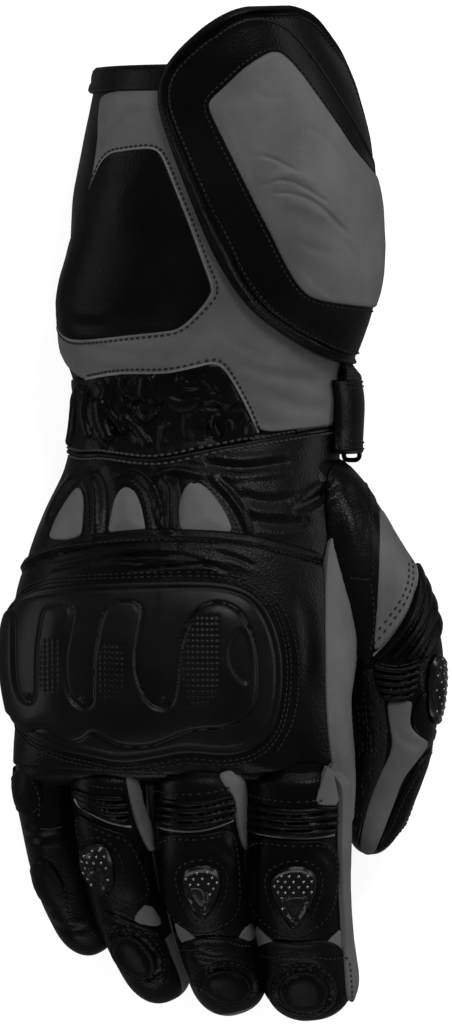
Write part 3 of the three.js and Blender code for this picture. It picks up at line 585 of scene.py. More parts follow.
# %% Folds and padded ridges
for depth, width, line in (
    (-1.7, 1.9, [(86, 476), (94, 486), (95, 510), (94, 538)]),
    (-1.0, 0.8, [(116, 474), (134, 472), (147, 482), (155, 502), (163, 534)]),
    (-1.5, 1.5, [(162, 478), (171, 488), (171, 510), (170, 538)]),
    (-0.9, 1.2, [(152, 475), (177, 470), (203, 476)]),
    (-0.9, 1.3, [(66, 474), (52, 492), (40, 520)]),
    (-0.7, 1.0, [(212, 478), (232, 498), (244, 518), (250, 536)]),
    (0.8, 1.5, [(205, 464), (240, 470), (290, 462)]),
    (0.55, 1.8, [(238, 496), (268, 504), (300, 498)]),
    (0.5, 1.6, [(250, 520), (282, 526), (310, 520)]),
    (0.9, 1.5, [(292, 512), (316, 500), (336, 484)]),
    (0.8, 0.7, [(100, 560), (138, 555), (176, 556)]),
    (0.75, 0.7, [(130, 572), (172, 566), (214, 566)]),
    (0.5, 0.7, [(52, 570), (86, 564), (112, 560)]),
    (0.35, 0.8, [(176, 556), (200, 562), (226, 572)]),
    (0.5, 0.6, [(92, 566), (118, 562), (146, 564)]),
    (0.25, 0.9, [(216, 554), (238, 560), (254, 568)]),
    (0.4, 2.0, [(300, 600), (308, 640), (306, 690)]),
    (0.5, 1.6, [(240, 770), (270, 778), (310, 774)]),
    (0.5, 1.8, [(62, 316), (92, 324), (128, 320)]),
    (0.75, 1.4, [(96, 348), (150, 356), (206, 348)]),
    (0.8, 1.4, [(216, 322), (238, 342), (266, 356)]),
    (0.8, 1.6, [(236, 360), (270, 374), (310, 378)]),
    (0.6, 2.0, [(262, 392), (292, 406), (328, 408)]),
    (0.6, 1.3, [(108, 124), (132, 108), (158, 116)]),
    (0.6, 1.1, [(212, 284), (222, 292), (228, 306)]),
    (0.4, 1.0, [(258, 962), (280, 968), (300, 966)]),
    (0.35, 1.0, [(196, 956), (216, 962), (236, 958)]),
    (0.4, 1.0, [(104, 918), (122, 926), (140, 934)]),
    (0.5, 1.1, [(14, 836), (34, 842), (58, 838)]),
    (0.4, 1.2, [(40, 924), (60, 936), (84, 934)]),
    (0.4, 1.0, [(310, 846), (326, 856), (332, 872)]),
    (0.4, 1.0, [(206, 842), (222, 850), (230, 864)]),
    (0.5, 1.4, [(350, 488), (362, 520), (364, 552)]),
    (0.4, 1.4, [(352, 596), (362, 620), (360, 646)]),
    (0.5, 1.3, [(424, 668), (432, 690), (430, 716)]),
    (0.4, 1.1, [(396, 730), (408, 744), (420, 748)]),
):
    crease(depth, width, *line)
print("folds:", len(CREASES))

# %% [markdown]
# ## Cutting and laying panels
# A glove maker cuts a panel flat and stretches it over the form. The same is done here: an
# outline is drawn over the photograph, turned into a flat pattern, filled with triangles
# that are small at the seams, and laid on the tube. A grid with trimmed corners was the
# other choice, but it can't follow rounded, pointed and hooked outlines this closely.


# %% Patterns
def resample(line, spacing, closed):
    """The same line with its points evenly spread."""
    loop = np.vstack([line, line[:1]]) if closed else line
    runs = np.linalg.norm(np.diff(loop, axis=0), axis=1)
    count = max(8, int(round(runs.sum() / spacing)))
    marks = np.linspace(0, runs.sum(), count + 1)
    marks = marks[:-1] if closed else marks
    far = np.concatenate([[0], np.cumsum(runs)])
    return np.stack([np.interp(marks, far, loop[:, k]) for k in range(loop.shape[1])], 1)


def flat(tube, th, t):
    return np.stack([th * tube.around, tube.sign * t * tube.length], 1)


def unflat(tube, q):
    return q[:, 0] / tube.around, q[:, 1] * tube.sign / tube.length


def pattern(tube, pixels, closed=True, times=3, spacing=0.8):
    """Pixels of the photograph as a flat line on a tube, with rounded corners."""
    line = rounded(np.array([spot(*p) for p in pixels]), closed, times)
    line = resample(flat(tube, *tube.find(line)), spacing, closed)
    if closed:
        x, y = line[:, 0], line[:, 1]
        if (x * np.roll(y, -1) - y * np.roll(x, -1)).sum() < 0:
            line = line[::-1].copy()
    return line


def contains(points, line):
    """Which points lie inside a closed line."""
    found = np.zeros(len(points), bool)
    for p, q in zip(line, np.roll(line, -1, axis=0)):
        level = (p[1] > points[:, 1]) != (q[1] > points[:, 1])
        cross = p[0] + (points[:, 1] - p[1]) * (q[0] - p[0]) / (q[1] - p[1] + 1e-12)
        found ^= level & (points[:, 0] < cross)
    return found


def shifted(line, far, closed=True):
    """The line moved sideways, inwards for a closed line, without the points that cross over."""
    if closed:
        ahead = np.roll(line, -1, axis=0) - np.roll(line, 1, axis=0)
    else:
        ahead = np.gradient(line, axis=0)
    moved = line + unit(np.stack([-ahead[:, 1], ahead[:, 0]], 1)) * far
    gap, _ = reach(moved, line, closed)
    return moved[gap > abs(far) * 0.94]


def lattice(edge, step, clear):
    """Points of a triangular lattice inside an outline, clear of it."""
    low, high = edge.min(0), edge.max(0)
    rows = np.arange(low[1], high[1], step * 0.866)
    columns = np.arange(low[0], high[0], step)
    grid = np.array([(x + (k % 2) * step / 2, y) for k, y in enumerate(rows) for x in columns])
    grid = grid[contains(grid, edge)]
    if len(grid):
        grid = grid[reach(grid, edge, True)[0] > clear]
    return grid


def triangles(edge, inner):
    points = np.vstack([edge] + [p for p in inner if len(p)])
    out = delaunay_2d_cdt([Vector(p) for p in points], [], [list(range(len(edge)))], 1, 1e-5)
    return np.array([tuple(v) for v in out[0]]), [tuple(f) for f in out[2]]


def panel(name, tube, pixels, look, kind, stands_for, shape, d0=0.2, low=-0.5, step=1.6,
          rings=(0.08, 0.3, 0.7, 1.2), under=5.0, dense=None, soft=1.0, times=3, spacing=0.8, smooth=50, slim=0.6):
    """A closed panel: shape(e, px, py) is its height in mm, e mm in from its edge. Leather is
    stretched thin where it turns down the side of the glove."""
    edge = pattern(tube, pixels, times=times, spacing=spacing)
    inner = [shifted(edge, far) for far in rings]
    inner = [p[contains(p, edge)] for p in inner]
    inner.append(lattice(edge, step, rings[-1] + 0.5 * step))
    if dense:
        for (x0, y0, x1, y1, fine) in dense:
            box = pattern(tube, [(x0, y0), (x1, y0), (x1, y1), (x0, y1)], times=1, spacing=2)
            inner[-1] = inner[-1][~contains(inner[-1], box)] if len(inner[-1]) else inner[-1]
            more = lattice(box, fine, 0.1)
            inner.append(more[contains(more, edge)])
    over, over_faces = triangles(edge, inner)
    below, below_faces = triangles(edge, [lattice(edge, under, 0.6 * under)])
    e = reach(over, edge, True)[0]
    th, t = unflat(tube, over)
    base = tube.point(th, t)
    px, py = base[:, 0] / PIXEL + 219.5, 514.8 - base[:, 1] / PIXEL
    height = d0 + shape(np.maximum(e, 0), px, py)
    height = np.where(e < 1e-3, low, height * (1 - slim + slim * np.clip(2 * tube.normal(th, t)[:, 2] + 0.1, 0, 1)))
    upper = tube.at(th, t, height, soft)
    lower = tube.at(*unflat(tube, below), low, soft)
    count = len(upper)
    faces = over_faces + [tuple(count + k for k in reversed(f)) for f in below_faces]
    thing = mesh_piece(name, np.vstack([upper, lower]), faces)
    return keep(thing, look, kind, *stands_for, smooth=smooth)


def quarter(e, r):
    """A rounded edge: 0 at the edge, 1 from r mm in."""
    return np.sqrt(1 - (1 - np.clip(e / r, 0, 1)) ** 2)


def hill(x, at, wide):
    return np.exp(-(((x - at) / wide) ** 2))


def outline(pixels, closed=True, times=2):
    """A rounded line in pixels."""
    return rounded(np.array(pixels, float), closed, times)


def padding(thick=1.1, r=0.8, crown=0.7, soft=7.0, seam=None, bead=None):
    """A sewn panel's section: a rounded edge, a crown, a seam's groove and a rolled bead."""
    def shape(e, px, py):
        h = thick * quarter(e, r) + crown * (1 - np.exp(-((e / soft) ** 1.6)))
        if seam:
            h = h - seam[1] * hill(e, seam[0], seam[2])
        if bead:
            h = h + bead[1] * hill(e, bead[0], bead[2])
        return h
    return shape


# %% [markdown]
# ## Piping and stitches
# Piping is a thin cord of leather sewn between two panels. A stitch is a short length of
# thread that dives in at both ends. Both must lie on the leather as it is, so each point
# is dropped on the meshes below it: a ray down the surface's normal finds the place.


# %% Piping and stitches
def ground(*names):
    """One search tree over pieces that are already made."""
    places, faces = [], []
    for name in names:
        mesh = PIECES[name].data
        count = len(places)
        co = np.empty(len(mesh.vertices) * 3)
        mesh.vertices.foreach_get("co", co)
        places.extend(map(tuple, (co.reshape(-1, 3) / MM)))
        faces.extend([tuple(count + v for v in p.vertices) for p in mesh.polygons])
    return BVHTree.FromPolygons(places, faces)


def settle(tree, tube, line, sink=0.0):
    """A flat line's places on the surface below, with the normals there."""
    th, t = unflat(tube, line)
    base, normals = tube.point(th, t), tube.normal(th, t)
    places, ups = [], []
    for p, n in zip(base, normals):
        hit = tree.ray_cast(Vector(p + n * 9), Vector(-n), 16)
        places.append(np.array(hit[0]) if hit[0] is not None else p + n)
        up = np.array(hit[1]) if hit[0] is not None else n
        ups.append(up if up @ n > 0.3 else n)
    return np.array(places) - np.array(ups) * sink, np.array(ups)


def cord_mesh(name, runs, radius, look, kind, closed=False, sides=3):
    """Round cord along runs of places, drawn as a curve with a bevel and made a mesh."""
    deselect()
    data = bpy.data.curves.new(name, "CURVE")
    data.dimensions = "3D"
    data.bevel_depth = radius * MM
    data.bevel_resolution = sides - 1
    data.use_fill_caps = True
    for run in runs:
        spline = data.splines.new("POLY")
        spline.points.add(len(run) - 1)
        spline.points.foreach_set("co", np.c_[run * MM, np.ones(len(run))].ravel())
        spline.use_cyclic_u = closed
    thing = bpy.data.objects.new(name, data)
    bpy.context.scene.collection.objects.link(thing)
    thing.select_set(True)
    bpy.context.view_layer.objects.active = thing
    bpy.ops.object.convert(target="MESH")
    thing = bpy.context.object
    return keep(thing, look, kind, smooth=60)


def evened(run):
    """A run of places with its small jumps smoothed."""
    for _ in range(3):
        run = np.vstack([run[:1], (run[:-2] + 2 * run[1:-1] + run[2:]) / 4, run[-1:]])
    return run


def stitch_form():
    """One stitch, 1 mm long and 1 mm thick, along X, its ends turned down."""
    rings = [(-0.5, 0.25, -0.9), (-0.42, 0.8, -0.15), (0, 1.0, 0.12), (0.42, 0.8, -0.15), (0.5, 0.25, -0.9)]
    places = []
    for x, r, z in rings:
        for k in range(6):
            a = math.pi * k / 3
            places.append((x, 0.5 * r * math.cos(a), 0.5 * r * math.sin(a) + 0.25 * z))
    faces = []
    for i in range(4):
        for k in range(6):
            n = (k + 1) % 6
            faces.append((i * 6 + k, i * 6 + n, i * 6 + 6 + n, i * 6 + 6 + k))
    faces += [tuple(reversed(range(6))), tuple(range(24, 30))]
    return np.array(places), [tuple(reversed(f)) for f in faces]


STITCH, STITCH_FACES = stitch_form()


def stitches(name, rows, look=None, kind="black_leather", long=1.75, gap=0.75, thick=0.5):
    """Rows of stitches: each row is (tree, tube, flat line, closed)."""
    places, faces = [], []
    for tree, tube, line, closed in rows:
        line = resample(line, long + gap, closed)
        if closed:
            line = np.vstack([line, line[:1]])
        spots, ups = settle(tree, tube, (line[:-1] + line[1:]) / 2)
        ends, _ = settle(tree, tube, line)
        for p, up, a, b in zip(spots, ups, ends[:-1], ends[1:]):
            if np.linalg.norm(b - a) > 2.2 * (long + gap):
                continue
            x = unit(b - a)
            y = unit(np.cross(up, x))
            z = np.cross(x, y)
            count = len(places) * len(STITCH)
            places.append(p + STITCH[:, :1] * long * x + STITCH[:, 1:2] * thick * y + STITCH[:, 2:] * thick * z + z * 0.1)
            faces.extend([tuple(count + v for v in f) for f in STITCH_FACES])
    thing = mesh_piece(name, np.vstack(places), faces)
    print(name, len(places), "stitches")
    return keep(thing, look or thread_finish, kind, smooth=60)

# %% [markdown]
# ## Leather shells
# Under the panels the glove is five fingers, a hand and a wide cuff, cut from soft leather.
# Each shell starts as a grid wrapped round its tube; the seam underneath is merged, and the
# cuff and the hand get a wall with Solidify because one can look in at the open end.


# %% Shells
def close_seam(thing):
    """Merges the two edges of a wrapped grid, and the point at a round tip."""
    deselect()
    thing.select_set(True)
    bpy.context.view_layer.objects.active = thing
    bpy.ops.object.mode_set(mode="EDIT")
    bpy.ops.mesh.select_all(action="SELECT")
    bpy.ops.mesh.remove_doubles(threshold=0.00002)
    bpy.ops.mesh.normals_make_consistent(inside=False)
    bpy.ops.object.mode_set(mode="OBJECT")


def give(thing, kind, **settings):
    """Adds a modifier and applies it at once."""
    deselect()
    thing.select_set(True)
    bpy.context.view_layer.objects.active = thing
    bpy.ops.object.modifier_add(type=kind)
    made = thing.modifiers[-1]
    for key, value in settings.items():
        setattr(made, key, value)
    bpy.ops.object.modifier_apply(modifier=made.name)


def repaint(thing, tube, look, rule):
    """A second finish on the faces that rule(away, normals, angles, shares) picks."""
    thing.data.materials.append(look)
    count = len(thing.data.polygons)
    middles, normals = np.empty(count * 3), np.empty(count * 3)
    thing.data.polygons.foreach_get("center", middles)
    thing.data.polygons.foreach_get("normal", normals)
    middles, normals = middles.reshape(-1, 3) / MM, normals.reshape(-1, 3)
    _, t = tube.find(middles[:, :2])
    v, side, up, _ = tube.section(np.clip(t, 0, 1))
    away = middles - v[:, :3]
    th = np.degrees(np.arctan2((away * side).sum(1), (away * up).sum(1)))
    picked = rule(away, normals, th, t)
    thing.data.polygons.foreach_set("material_index", picked.astype(np.int32))
    return int(picked.sum())


def inner(away, normals, th, t):
    """Faces that look towards the middle of the tube."""
    return (away * normals).sum(1) < 0


# Strips of grey leather close the sides of the fingers that face each other, and show
# beside the tip of the ring finger and below the tip of the middle finger
SIDES = {
    "index": lambda th, t: (th < -66) & (th > -128),
    "middle": lambda th, t: (np.abs(th) > np.where(t > 0.955, 0, 66)) & (np.abs(th) < 128),
    "ring": lambda th, t: (th > np.where(t > 0.72, 22, 50)) & (th < 128),
}
FULL = np.linspace(-180, 180, 145)


def gauntlet_lift(th, t):
    """The cuff's leather bunches a little above the wrist."""
    return 0.5 * np.sin(t * 40) * np.exp(-((t / 0.1) ** 2))


gauntlet = wrapped_grid("gauntlet_shell", cuff, FULL, np.linspace(-0.02, 1.0, 120), gauntlet_lift)
close_seam(gauntlet)
give(gauntlet, "SOLIDIFY", thickness=0.0022, offset=-1)
keep(gauntlet, black_leather, "black_leather", "gauntlet")


def hand_lift(th, t):
    """The end of the hand rolls in over the finger roots."""
    roll = np.clip((t - 0.965) / 0.045, 0, 1)
    return -5.5 * roll**2


palm = wrapped_grid("hand_shell", hand, FULL, np.linspace(-0.015, 1.01, 130), hand_lift)
close_seam(palm)
give(palm, "SOLIDIFY", thickness=0.002, offset=-1)
keep(palm, black_leather, "black_leather", "hand")
print("lined faces:", [repaint(thing, tube, lining, inner) for thing, tube in ((gauntlet, cuff), (palm, hand))])

DIGITS = {"index": index, "middle": middle, "ring": ring, "little": little, "thumb": thumb}
FIRST = {"index": 0.12, "middle": 0.14, "ring": 0.14, "little": 0.18, "thumb": 0.03}
for name, tube in DIGITS.items():
    straight = np.linspace(FIRST[name], 1 - tube.tip, 70)
    around_tip = 1 - tube.tip + tube.tip * np.sin(np.linspace(0, 90, 22)[1:] * math.pi / 180)
    digit = wrapped_grid(name + "_finger_shell" if name != "thumb" else "thumb_shell", tube,
                         np.linspace(-180, 180, 91), np.concatenate([straight, around_tip]), 0.0)
    close_seam(digit)
    node_name = name + "_finger" if name != "thumb" else "thumb"
    keep(digit, black_leather, "grey_leather" if name in ("index", "middle", "ring") else "black_leather", node_name)
    if name in SIDES:
        repaint(digit, tube, grey_leather, lambda away, normals, th, t, name=name: SIDES[name](th, t))
print("shells:", len(PIECES))

# %% [markdown]
# ## The cuff
# Grey leather covers the back of the cuff, with a black padded panel let into it, and a
# big black flap with a rolled edge closes over it and carries a grey pad. The flap is
# stiff enough to stand past the end of the cuff, so it is a full closed sheet.

# %% Cuff panels
panel("cuff_top_leather", cuff, [
    (104, 91), (130, 87), (170, 84), (260, 96), (330, 160), (352, 300), (345, 340), (341, 375), (341, 424), (300, 428), (258, 433),
    (249, 412), (238, 390), (226, 370), (219, 363), (211, 361), (190, 368), (165, 372), (125, 374), (84, 380),
    (72, 374), (60, 358), (55, 330), (58, 300), (66, 262), (80, 225), (93, 180), (99, 140), (101, 105),
], grey_leather, "grey_leather", ["cuff_top_panel"], padding(1.0, 0.5, 0.3, 5, seam=(2.4, 0.25, 0.7)), step=1.8)

CUFF_PANEL = [(107, 153), (130, 149), (152, 147), (159, 150), (164, 158), (175, 187), (189, 222), (203, 262), (212, 286),
              (209, 296), (193, 315), (178, 328), (160, 330), (130, 333), (95, 337), (78, 338), (67, 335), (58, 325),
              (54, 300), (62, 272), (72, 240), (84, 208), (95, 180)]
cuff_pad = panel("cuff_padded_panel", cuff, CUFF_PANEL, pad_leather, "black_leather", ["cuff_panel"],
      padding(1.0, 0.6, 2.2, 9, seam=(1.0, 0.2, 0.5)), d0=1.1, low=0.6, step=1.5, times=2)

FLAP = [(265, 3), (240, 6), (222, 13), (200, 28), (180, 48), (167, 66), (161, 85), (161, 110), (170, 140),
        (182, 175), (199, 220), (214, 255), (235, 290), (254, 312), (278, 330), (302, 345), (322, 355), (345, 361),
        (364, 357), (376, 340), (391, 304), (400, 272), (402, 240), (396, 195), (384, 150), (356, 98), (328, 50), (303, 16), (285, 6)]


def flap_shape(e, px, py):
    h = 2.0 * quarter(e, 1.2) + 1.3 * hill(e, 1.5, 0.95) - 0.7 * hill(e, 3.0, 0.55)
    return h + 0.35 * hill(e, 4.4, 0.7) + 0.5 * (1 - np.exp(-((e / 9) ** 2)))


panel("cuff_flap_leather", cuff, FLAP, black_leather, "black_leather", ["cuff_flap"], flap_shape,
      d0=2.2, low=1.6, step=1.7, rings=(0.08, 0.35, 0.8, 1.2, 1.7, 2.3, 2.8, 3.2, 3.7, 4.4, 5.2), under=2.6, slim=0.15)

PAD = [(208, 103), (213, 95), (225, 84), (240, 68), (258, 55), (268, 51), (278, 56), (300, 84), (330, 130), (350, 160),
       (372, 182), (386, 200), (393, 240), (389, 288), (381, 304), (350, 301), (312, 296), (298, 288), (285, 268),
       (270, 236), (255, 206), (240, 174), (225, 142), (213, 118)]


BENDS = [
    (0.6, 0.6, [(246, 154), (262, 153), (276, 160), (292, 170)]), (0.8, 0.6, [(258, 183), (277, 175), (297, 184), (316, 199)]),
    (-0.6, 1.6, [(262, 178), (282, 168), (306, 182)]), (0.8, 0.6, [(268, 190), (290, 190), (310, 202), (324, 218), (336, 231)]),
    (-0.7, 2.0, [(280, 198), (300, 204), (316, 216)]), (0.35, 0.7, [(296, 128), (312, 134), (324, 148)]),
    (0.35, 0.7, [(318, 144), (330, 152), (340, 168)]), (0.4, 1.0, [(290, 236), (306, 246), (322, 248)]),
    (-0.35, 0.7, [(219, 104), (232, 140), (252, 190)]), (-0.45, 0.7, [(292, 264), (304, 284), (326, 297)]),
    (0.3, 0.8, [(330, 236), (342, 252), (346, 270)]), (0.25, 0.7, [(250, 90), (264, 98), (280, 96)]),
]


def pad_shape(e, px, py):
    """A soft pad: a full edge, and shallow dents where the leather has been bent."""
    h = 1.5 * quarter(e, 1.1) + 1.2 * (1 - np.exp(-((e / 6) ** 1.5)))
    for deep, wide, line in BENDS:
        gap, along = reach(np.c_[px, py], outline(line, False))
        h = h - deep * hill(gap * PIXEL, 0, wide) * np.sin(np.pi * np.clip(along, 0.03, 0.97)) ** 0.6
    return h + 0.15 * noise(np.c_[px, py, px] * PIXEL, 7, 5) + 0.05 * noise(np.c_[px, py, px] * PIXEL, 2.5, 6)


pad = panel("flap_soft_pad", cuff, PAD, grey_leather, "grey_leather", ["flap_pad"], pad_shape,
            d0=4.3, low=3.6, step=1.0, times=2, slim=0.15, dense=[(244, 145, 345, 240, 0.5)])

# %% [markdown]
# Above the wrist the leather is gathered on rows of elastic, so it stands up in small
# irregular puffs between the rows. The larger puffs are drawn one by one over the
# photograph, each as a line with a width and a height, and slow noise swells the rest.

# %% Gathered wrist
PUFFS = [
    (1.4, 1.7, [(78, 388), (69, 408), (66, 440)]), (1.3, 1.6, [(84, 392), (79, 411), (87, 434)]),
    (2.0, 2.1, [(99, 404), (101, 420), (108, 436)]), (1.2, 1.2, [(109, 412), (117, 420), (122, 430)]),
    (1.2, 1.2, [(122, 376), (121, 384), (126, 392)]), (0.8, 1.2, [(152, 376), (154, 389), (160, 400)]),
    (1.0, 0.9, [(144, 378), (142, 392), (144, 398)]), (0.9, 1.5, [(134, 406), (139, 416), (147, 420), (155, 412)]),
    (1.4, 1.1, [(124, 418), (137, 429), (147, 443)]), (1.2, 1.2, [(167, 424), (164, 432), (163, 443)]),
    (1.3, 1.1, [(187, 416), (186, 426), (188, 438)]), (1.0, 1.4, [(216, 413), (212, 424), (217, 435)]),
    (1.1, 1.1, [(247, 416), (242, 424), (242, 434)]), (1.1, 1.0, [(203, 375), (209, 380), (214, 388)]),
    (1.2, 0.9, [(180, 378), (186, 384), (196, 383)]), (1.2, 1.0, [(100, 380), (106, 388), (102, 398)]),
    (1.6, 1.0, [(170, 400), (182, 404), (196, 400)]), (1.5, 0.8, [(216, 396), (226, 402), (234, 398)]),
    (1.0, 1.0, [(228, 420), (230, 428), (226, 436)]), (1.0, 1.0, [(202, 420), (204, 428), (200, 438)]),
]


def gathers(e, px, py):
    at = np.c_[px, py]
    h = 0.6 * noise(at * PIXEL @ np.array([[1, 0, 0], [0, 0.55, 0]]), 3.6, 7) + 0.15 * noise(np.c_[at, px] * PIXEL, 2.0, 8)
    h = 0.9 + h - 0.8 * hill(py - 0.03 * (px - 60), 400, 4.0) * (px > 125)
    for wide, high, line in PUFFS:
        gap = reach(at, outline(line, False))[0] * PIXEL
        h = np.maximum(h, high * 1.5 * np.sqrt(np.maximum(1 - (gap / (1.35 * wide)) ** 2, 0)) + 0.35 * h)
    return 0.8 * quarter(e, 0.7) + np.maximum(h, 0) * quarter(e, 2.2)


panel("gathered_wrist", cuff, [(60, 377), (86, 378), (125, 372), (165, 371), (190, 366), (214, 360), (223, 366), (238, 390), (249, 414),
                               (261, 438), (215, 449), (160, 460), (130, 458), (100, 452), (78, 453), (50, 448), (44, 410)],
      black_leather, "black_leather", ["wrist_gather"], gathers, step=0.6, spacing=0.6, d0=0.25, times=2)


# %% [markdown]
# The end of the cuff is bound with a folded strip of black leather. Its section goes over
# the outside, round the raw edge and back inside, and is swept round the opening.


# %% Cuff binding
def swept_band(name, tube, angles, section, look, kind, *stands_for):
    """A closed section of (t, d) swept round a tube, with its two ends closed."""
    places = np.vstack([tube.at(np.asarray(angles), np.full(len(angles), t), d) for t, d in section])
    n, m = len(section), len(angles)
    faces = [(i * m + j, i * m + j + 1, ((i + 1) % n) * m + j + 1, ((i + 1) % n) * m + j) for i in range(n) for j in range(m - 1)]
    faces += [tuple(i * m for i in reversed(range(n))), tuple(i * m + m - 1 for i in range(n))]
    thing = mesh_piece(name, places, faces)
    form = bmesh.new()
    form.from_mesh(thing.data)
    bmesh.ops.recalc_face_normals(form, faces=form.faces)
    form.to_mesh(thing.data)
    form.free()
    return keep(thing, look, kind, *stands_for)


swept_band("cuff_edge_binding", cuff, np.linspace(-139, 139, 180),
           [(0.942, 0.2), (0.943, 1.3), (0.948, 1.9), (0.962, 1.8), (0.97, 1.45), (0.985, 1.7), (1.002, 1.5), (1.011, 0.7),
            (1.014, -0.9), (1.011, -2.4), (1.0, -3.0), (0.96, -3.0), (0.952, -2.2)],
           black_leather, "black_leather", "cuff_binding")

# %% [markdown]
# ## The back of the hand
# Three grey flutes run up from the knuckles between black padded ridges. Below them the
# knuckle panel starts with a thick rolled edge.

# %% Flutes and ridges
panel("hand_back_leather", hand, [(44, 450), (78, 453), (100, 453), (130, 459), (160, 461), (215, 449), (260, 441), (300, 434), (344, 425), (350, 460), (348, 500), (334, 530), (326, 562),
                                  (295, 560), (230, 544), (150, 540), (60, 553), (14, 574), (26, 530), (42, 480)],
      black_leather, "black_leather", [], padding(0.6, 0.5, 0.1, 4), step=0.75, d0=0.1)
FLUTES = {
    "tendon_insert_1": [(76, 484), (69, 490), (60, 503), (53, 516), (49, 528), (45, 540), (80, 540), (81, 520), (81, 495)],
    "tendon_insert_2": [(124, 486), (116, 494), (112, 505), (109, 518), (106, 536), (146, 536), (144, 518), (140, 502), (134, 490)],
    "tendon_insert_3": [(194, 480), (184, 488), (179, 500), (178, 515), (180, 536), (234, 536), (228, 518), (219, 503), (208, 489)],
}
for name, line in FLUTES.items():
    panel(name.replace("insert", "flute"), hand, line, grey_leather, "grey_leather", [name],
          padding(0.7, 0.6, 1.4, 5), step=1.1, times=2, d0=0.6)

KNUCKLE = [(22, 557), (60, 541), (100, 533), (150, 529), (190, 530), (230, 532), (260, 537), (295, 546), (322, 554), (324, 600),
           (324, 650), (325, 700), (328, 745), (330, 772), (280, 774), (200, 776), (120, 773), (60, 770), (6, 768), (-8, 740),
           (-14, 680), (-12, 620), (2, 585)]


def knuckle_shape(e, px, py):
    """A rolled edge along the top only, and shallow ridges round the guard."""
    top = np.interp(px, [0, 22, 60, 100, 150, 190, 230, 260, 295, 322], [566, 557, 541, 533, 529, 530, 532, 537, 546, 554])
    far = (py - top) * PIXEL
    h = 1.2 * quarter(e, 0.7) + 1.5 * hill(far, 1.9, 1.5) - 0.5 * hill(far, 4.0, 0.6)
    h = h + 0.45 * hill(far, 2.9, 0.5) - 0.35 * hill(far, 1.9, 0.35)
    return h + 0.5 * hill(far, 11, 3.0) * hill(px, 130, 90)


panel("knuckle_leather", hand, KNUCKLE, black_leather, "black_leather", ["knuckle_panel"], knuckle_shape,
      d0=0.5, step=1.5, rings=(0.08, 0.3, 0.7, 1.3, 2.0, 2.8, 3.6, 4.2, 4.9), dense=[(48, 548, 266, 586, 0.6)])

# %% [markdown]
# ## The knuckle guard
# A moulded cap with a stepped rim, raised ribs over the knuckles, sunk channels that end
# in a round, rows of square pits on the ribs, and a wavy lower line. Its height is
# written as a map over the cap: one winding outline goes up and down the four ribs, its
# inside is raised and crowned, and a fine groove runs along it.

# %% Knuckle guard
GUARD = [(14, 602), (28, 592), (60, 586), (130, 583), (200, 581), (236, 585), (258, 597), (273, 622), (282, 655), (282, 695),
         (274, 730), (256, 750), (226, 757), (187, 752), (160, 758), (120, 764), (90, 757), (60, 752), (25, 736), (4, 712), (-6, 690), (-8, 640), (0, 615)]
RAISED = [(-8, 640), (-4, 616), (8, 608), (17, 612), (20, 630), (20, 655), (21, 682), (26, 698), (34, 705), (41, 699), (42, 680),
          (42, 655), (45, 628), (48, 611), (56, 607), (70, 607), (76, 612), (73, 632), (68, 655), (68, 680), (74, 700), (86, 709),
          (95, 703), (96, 685), (96, 660), (100, 632), (106, 610), (118, 603), (136, 603), (143, 611), (139, 635), (135, 660), (139, 684),
          (149, 702), (163, 709), (173, 703), (177, 684), (179, 655), (186, 630), (197, 611), (212, 604), (228, 606), (241, 616),
          (251, 637), (256, 666), (255, 700), (247, 716), (226, 727), (200, 728), (184, 731), (166, 739), (150, 745), (122, 745),
          (106, 737), (94, 730), (86, 739), (74, 743), (60, 735), (49, 727), (36, 730), (22, 742), (6, 735), (-4, 715), (-10, 680)]
LEAF = [(240, 627), (230, 638), (224, 655), (230, 674), (244, 687), (250, 672), (250, 645)]
PITS = [(45, 640, 64, 692), (99, 644, 126, 700), (182, 616, 218, 706)]
LAMPS = [(33, 695), (85, 699), (162, 699)]


def guard_shape(e, px, py):
    at, clear = np.c_[px, py], np.clip((e - 1.6) / 1.6, 0, 1)
    h = 1.5 * quarter(e, 1.3) + 1.5 * (1 - np.exp(-((e / 7) ** 1.6))) - 0.55 * hill(e, 2.6, 0.5)
    line = outline(RAISED)
    gap = reach(at, line, True)[0] * PIXEL
    ridge = np.where(contains(at, line), gap, -gap)
    h = h + clear * (1.0 / (1 + np.exp(-(ridge - 0.45) / 0.2)) - 0.45 * hill(ridge, -0.25, 0.36))
    h = h + 0.55 * clear * (1 - np.exp(-((np.maximum(ridge, 0) / 3.2) ** 1.6)))
    leaf = outline(LEAF)
    gap = reach(at, leaf, True)[0] * PIXEL
    within = np.where(contains(at, leaf), gap, -gap)
    h = h - 0.8 / (1 + np.exp(-(within - 0.2) / 0.22))
    for x0, y0, x1, y1 in PITS:
        near = (px > x0) & (px < x1) & (py > y0) & (py < y1) & (ridge > 1.0)
        pit = (np.abs(np.sin(np.pi * (px - x0) / 4.6)) * np.abs(np.sin(np.pi * (py - y0) / 5.4))) ** 1.1
        h = h - np.where(near, 0.4 * pit, 0)
    for x, y in LAMPS:
        h = h + 0.9 * hill(np.hypot(px - x, py - y), 0, 2.2)
    return h


panel("knuckle_guard_cap", hand, GUARD, guard_plastic, "moulded_guard", ["knuckle_guard"], guard_shape, d0=1.4, low=0.9,
      step=0.62, spacing=0.6, rings=(0.06, 0.25, 0.6, 1.0, 1.4, 1.9, 2.3, 2.6, 2.9, 3.3), smooth=60, soft=0.5,
      dense=[(x0, y0, x1, y1, 0.36) for x0, y0, x1, y1 in PITS])

# %% [markdown]
# A grey strip closes the hand and the index finger on the thumb side. On the real glove
# it is one long piece from the wrist to the finger tip; here it is cut at the finger root.

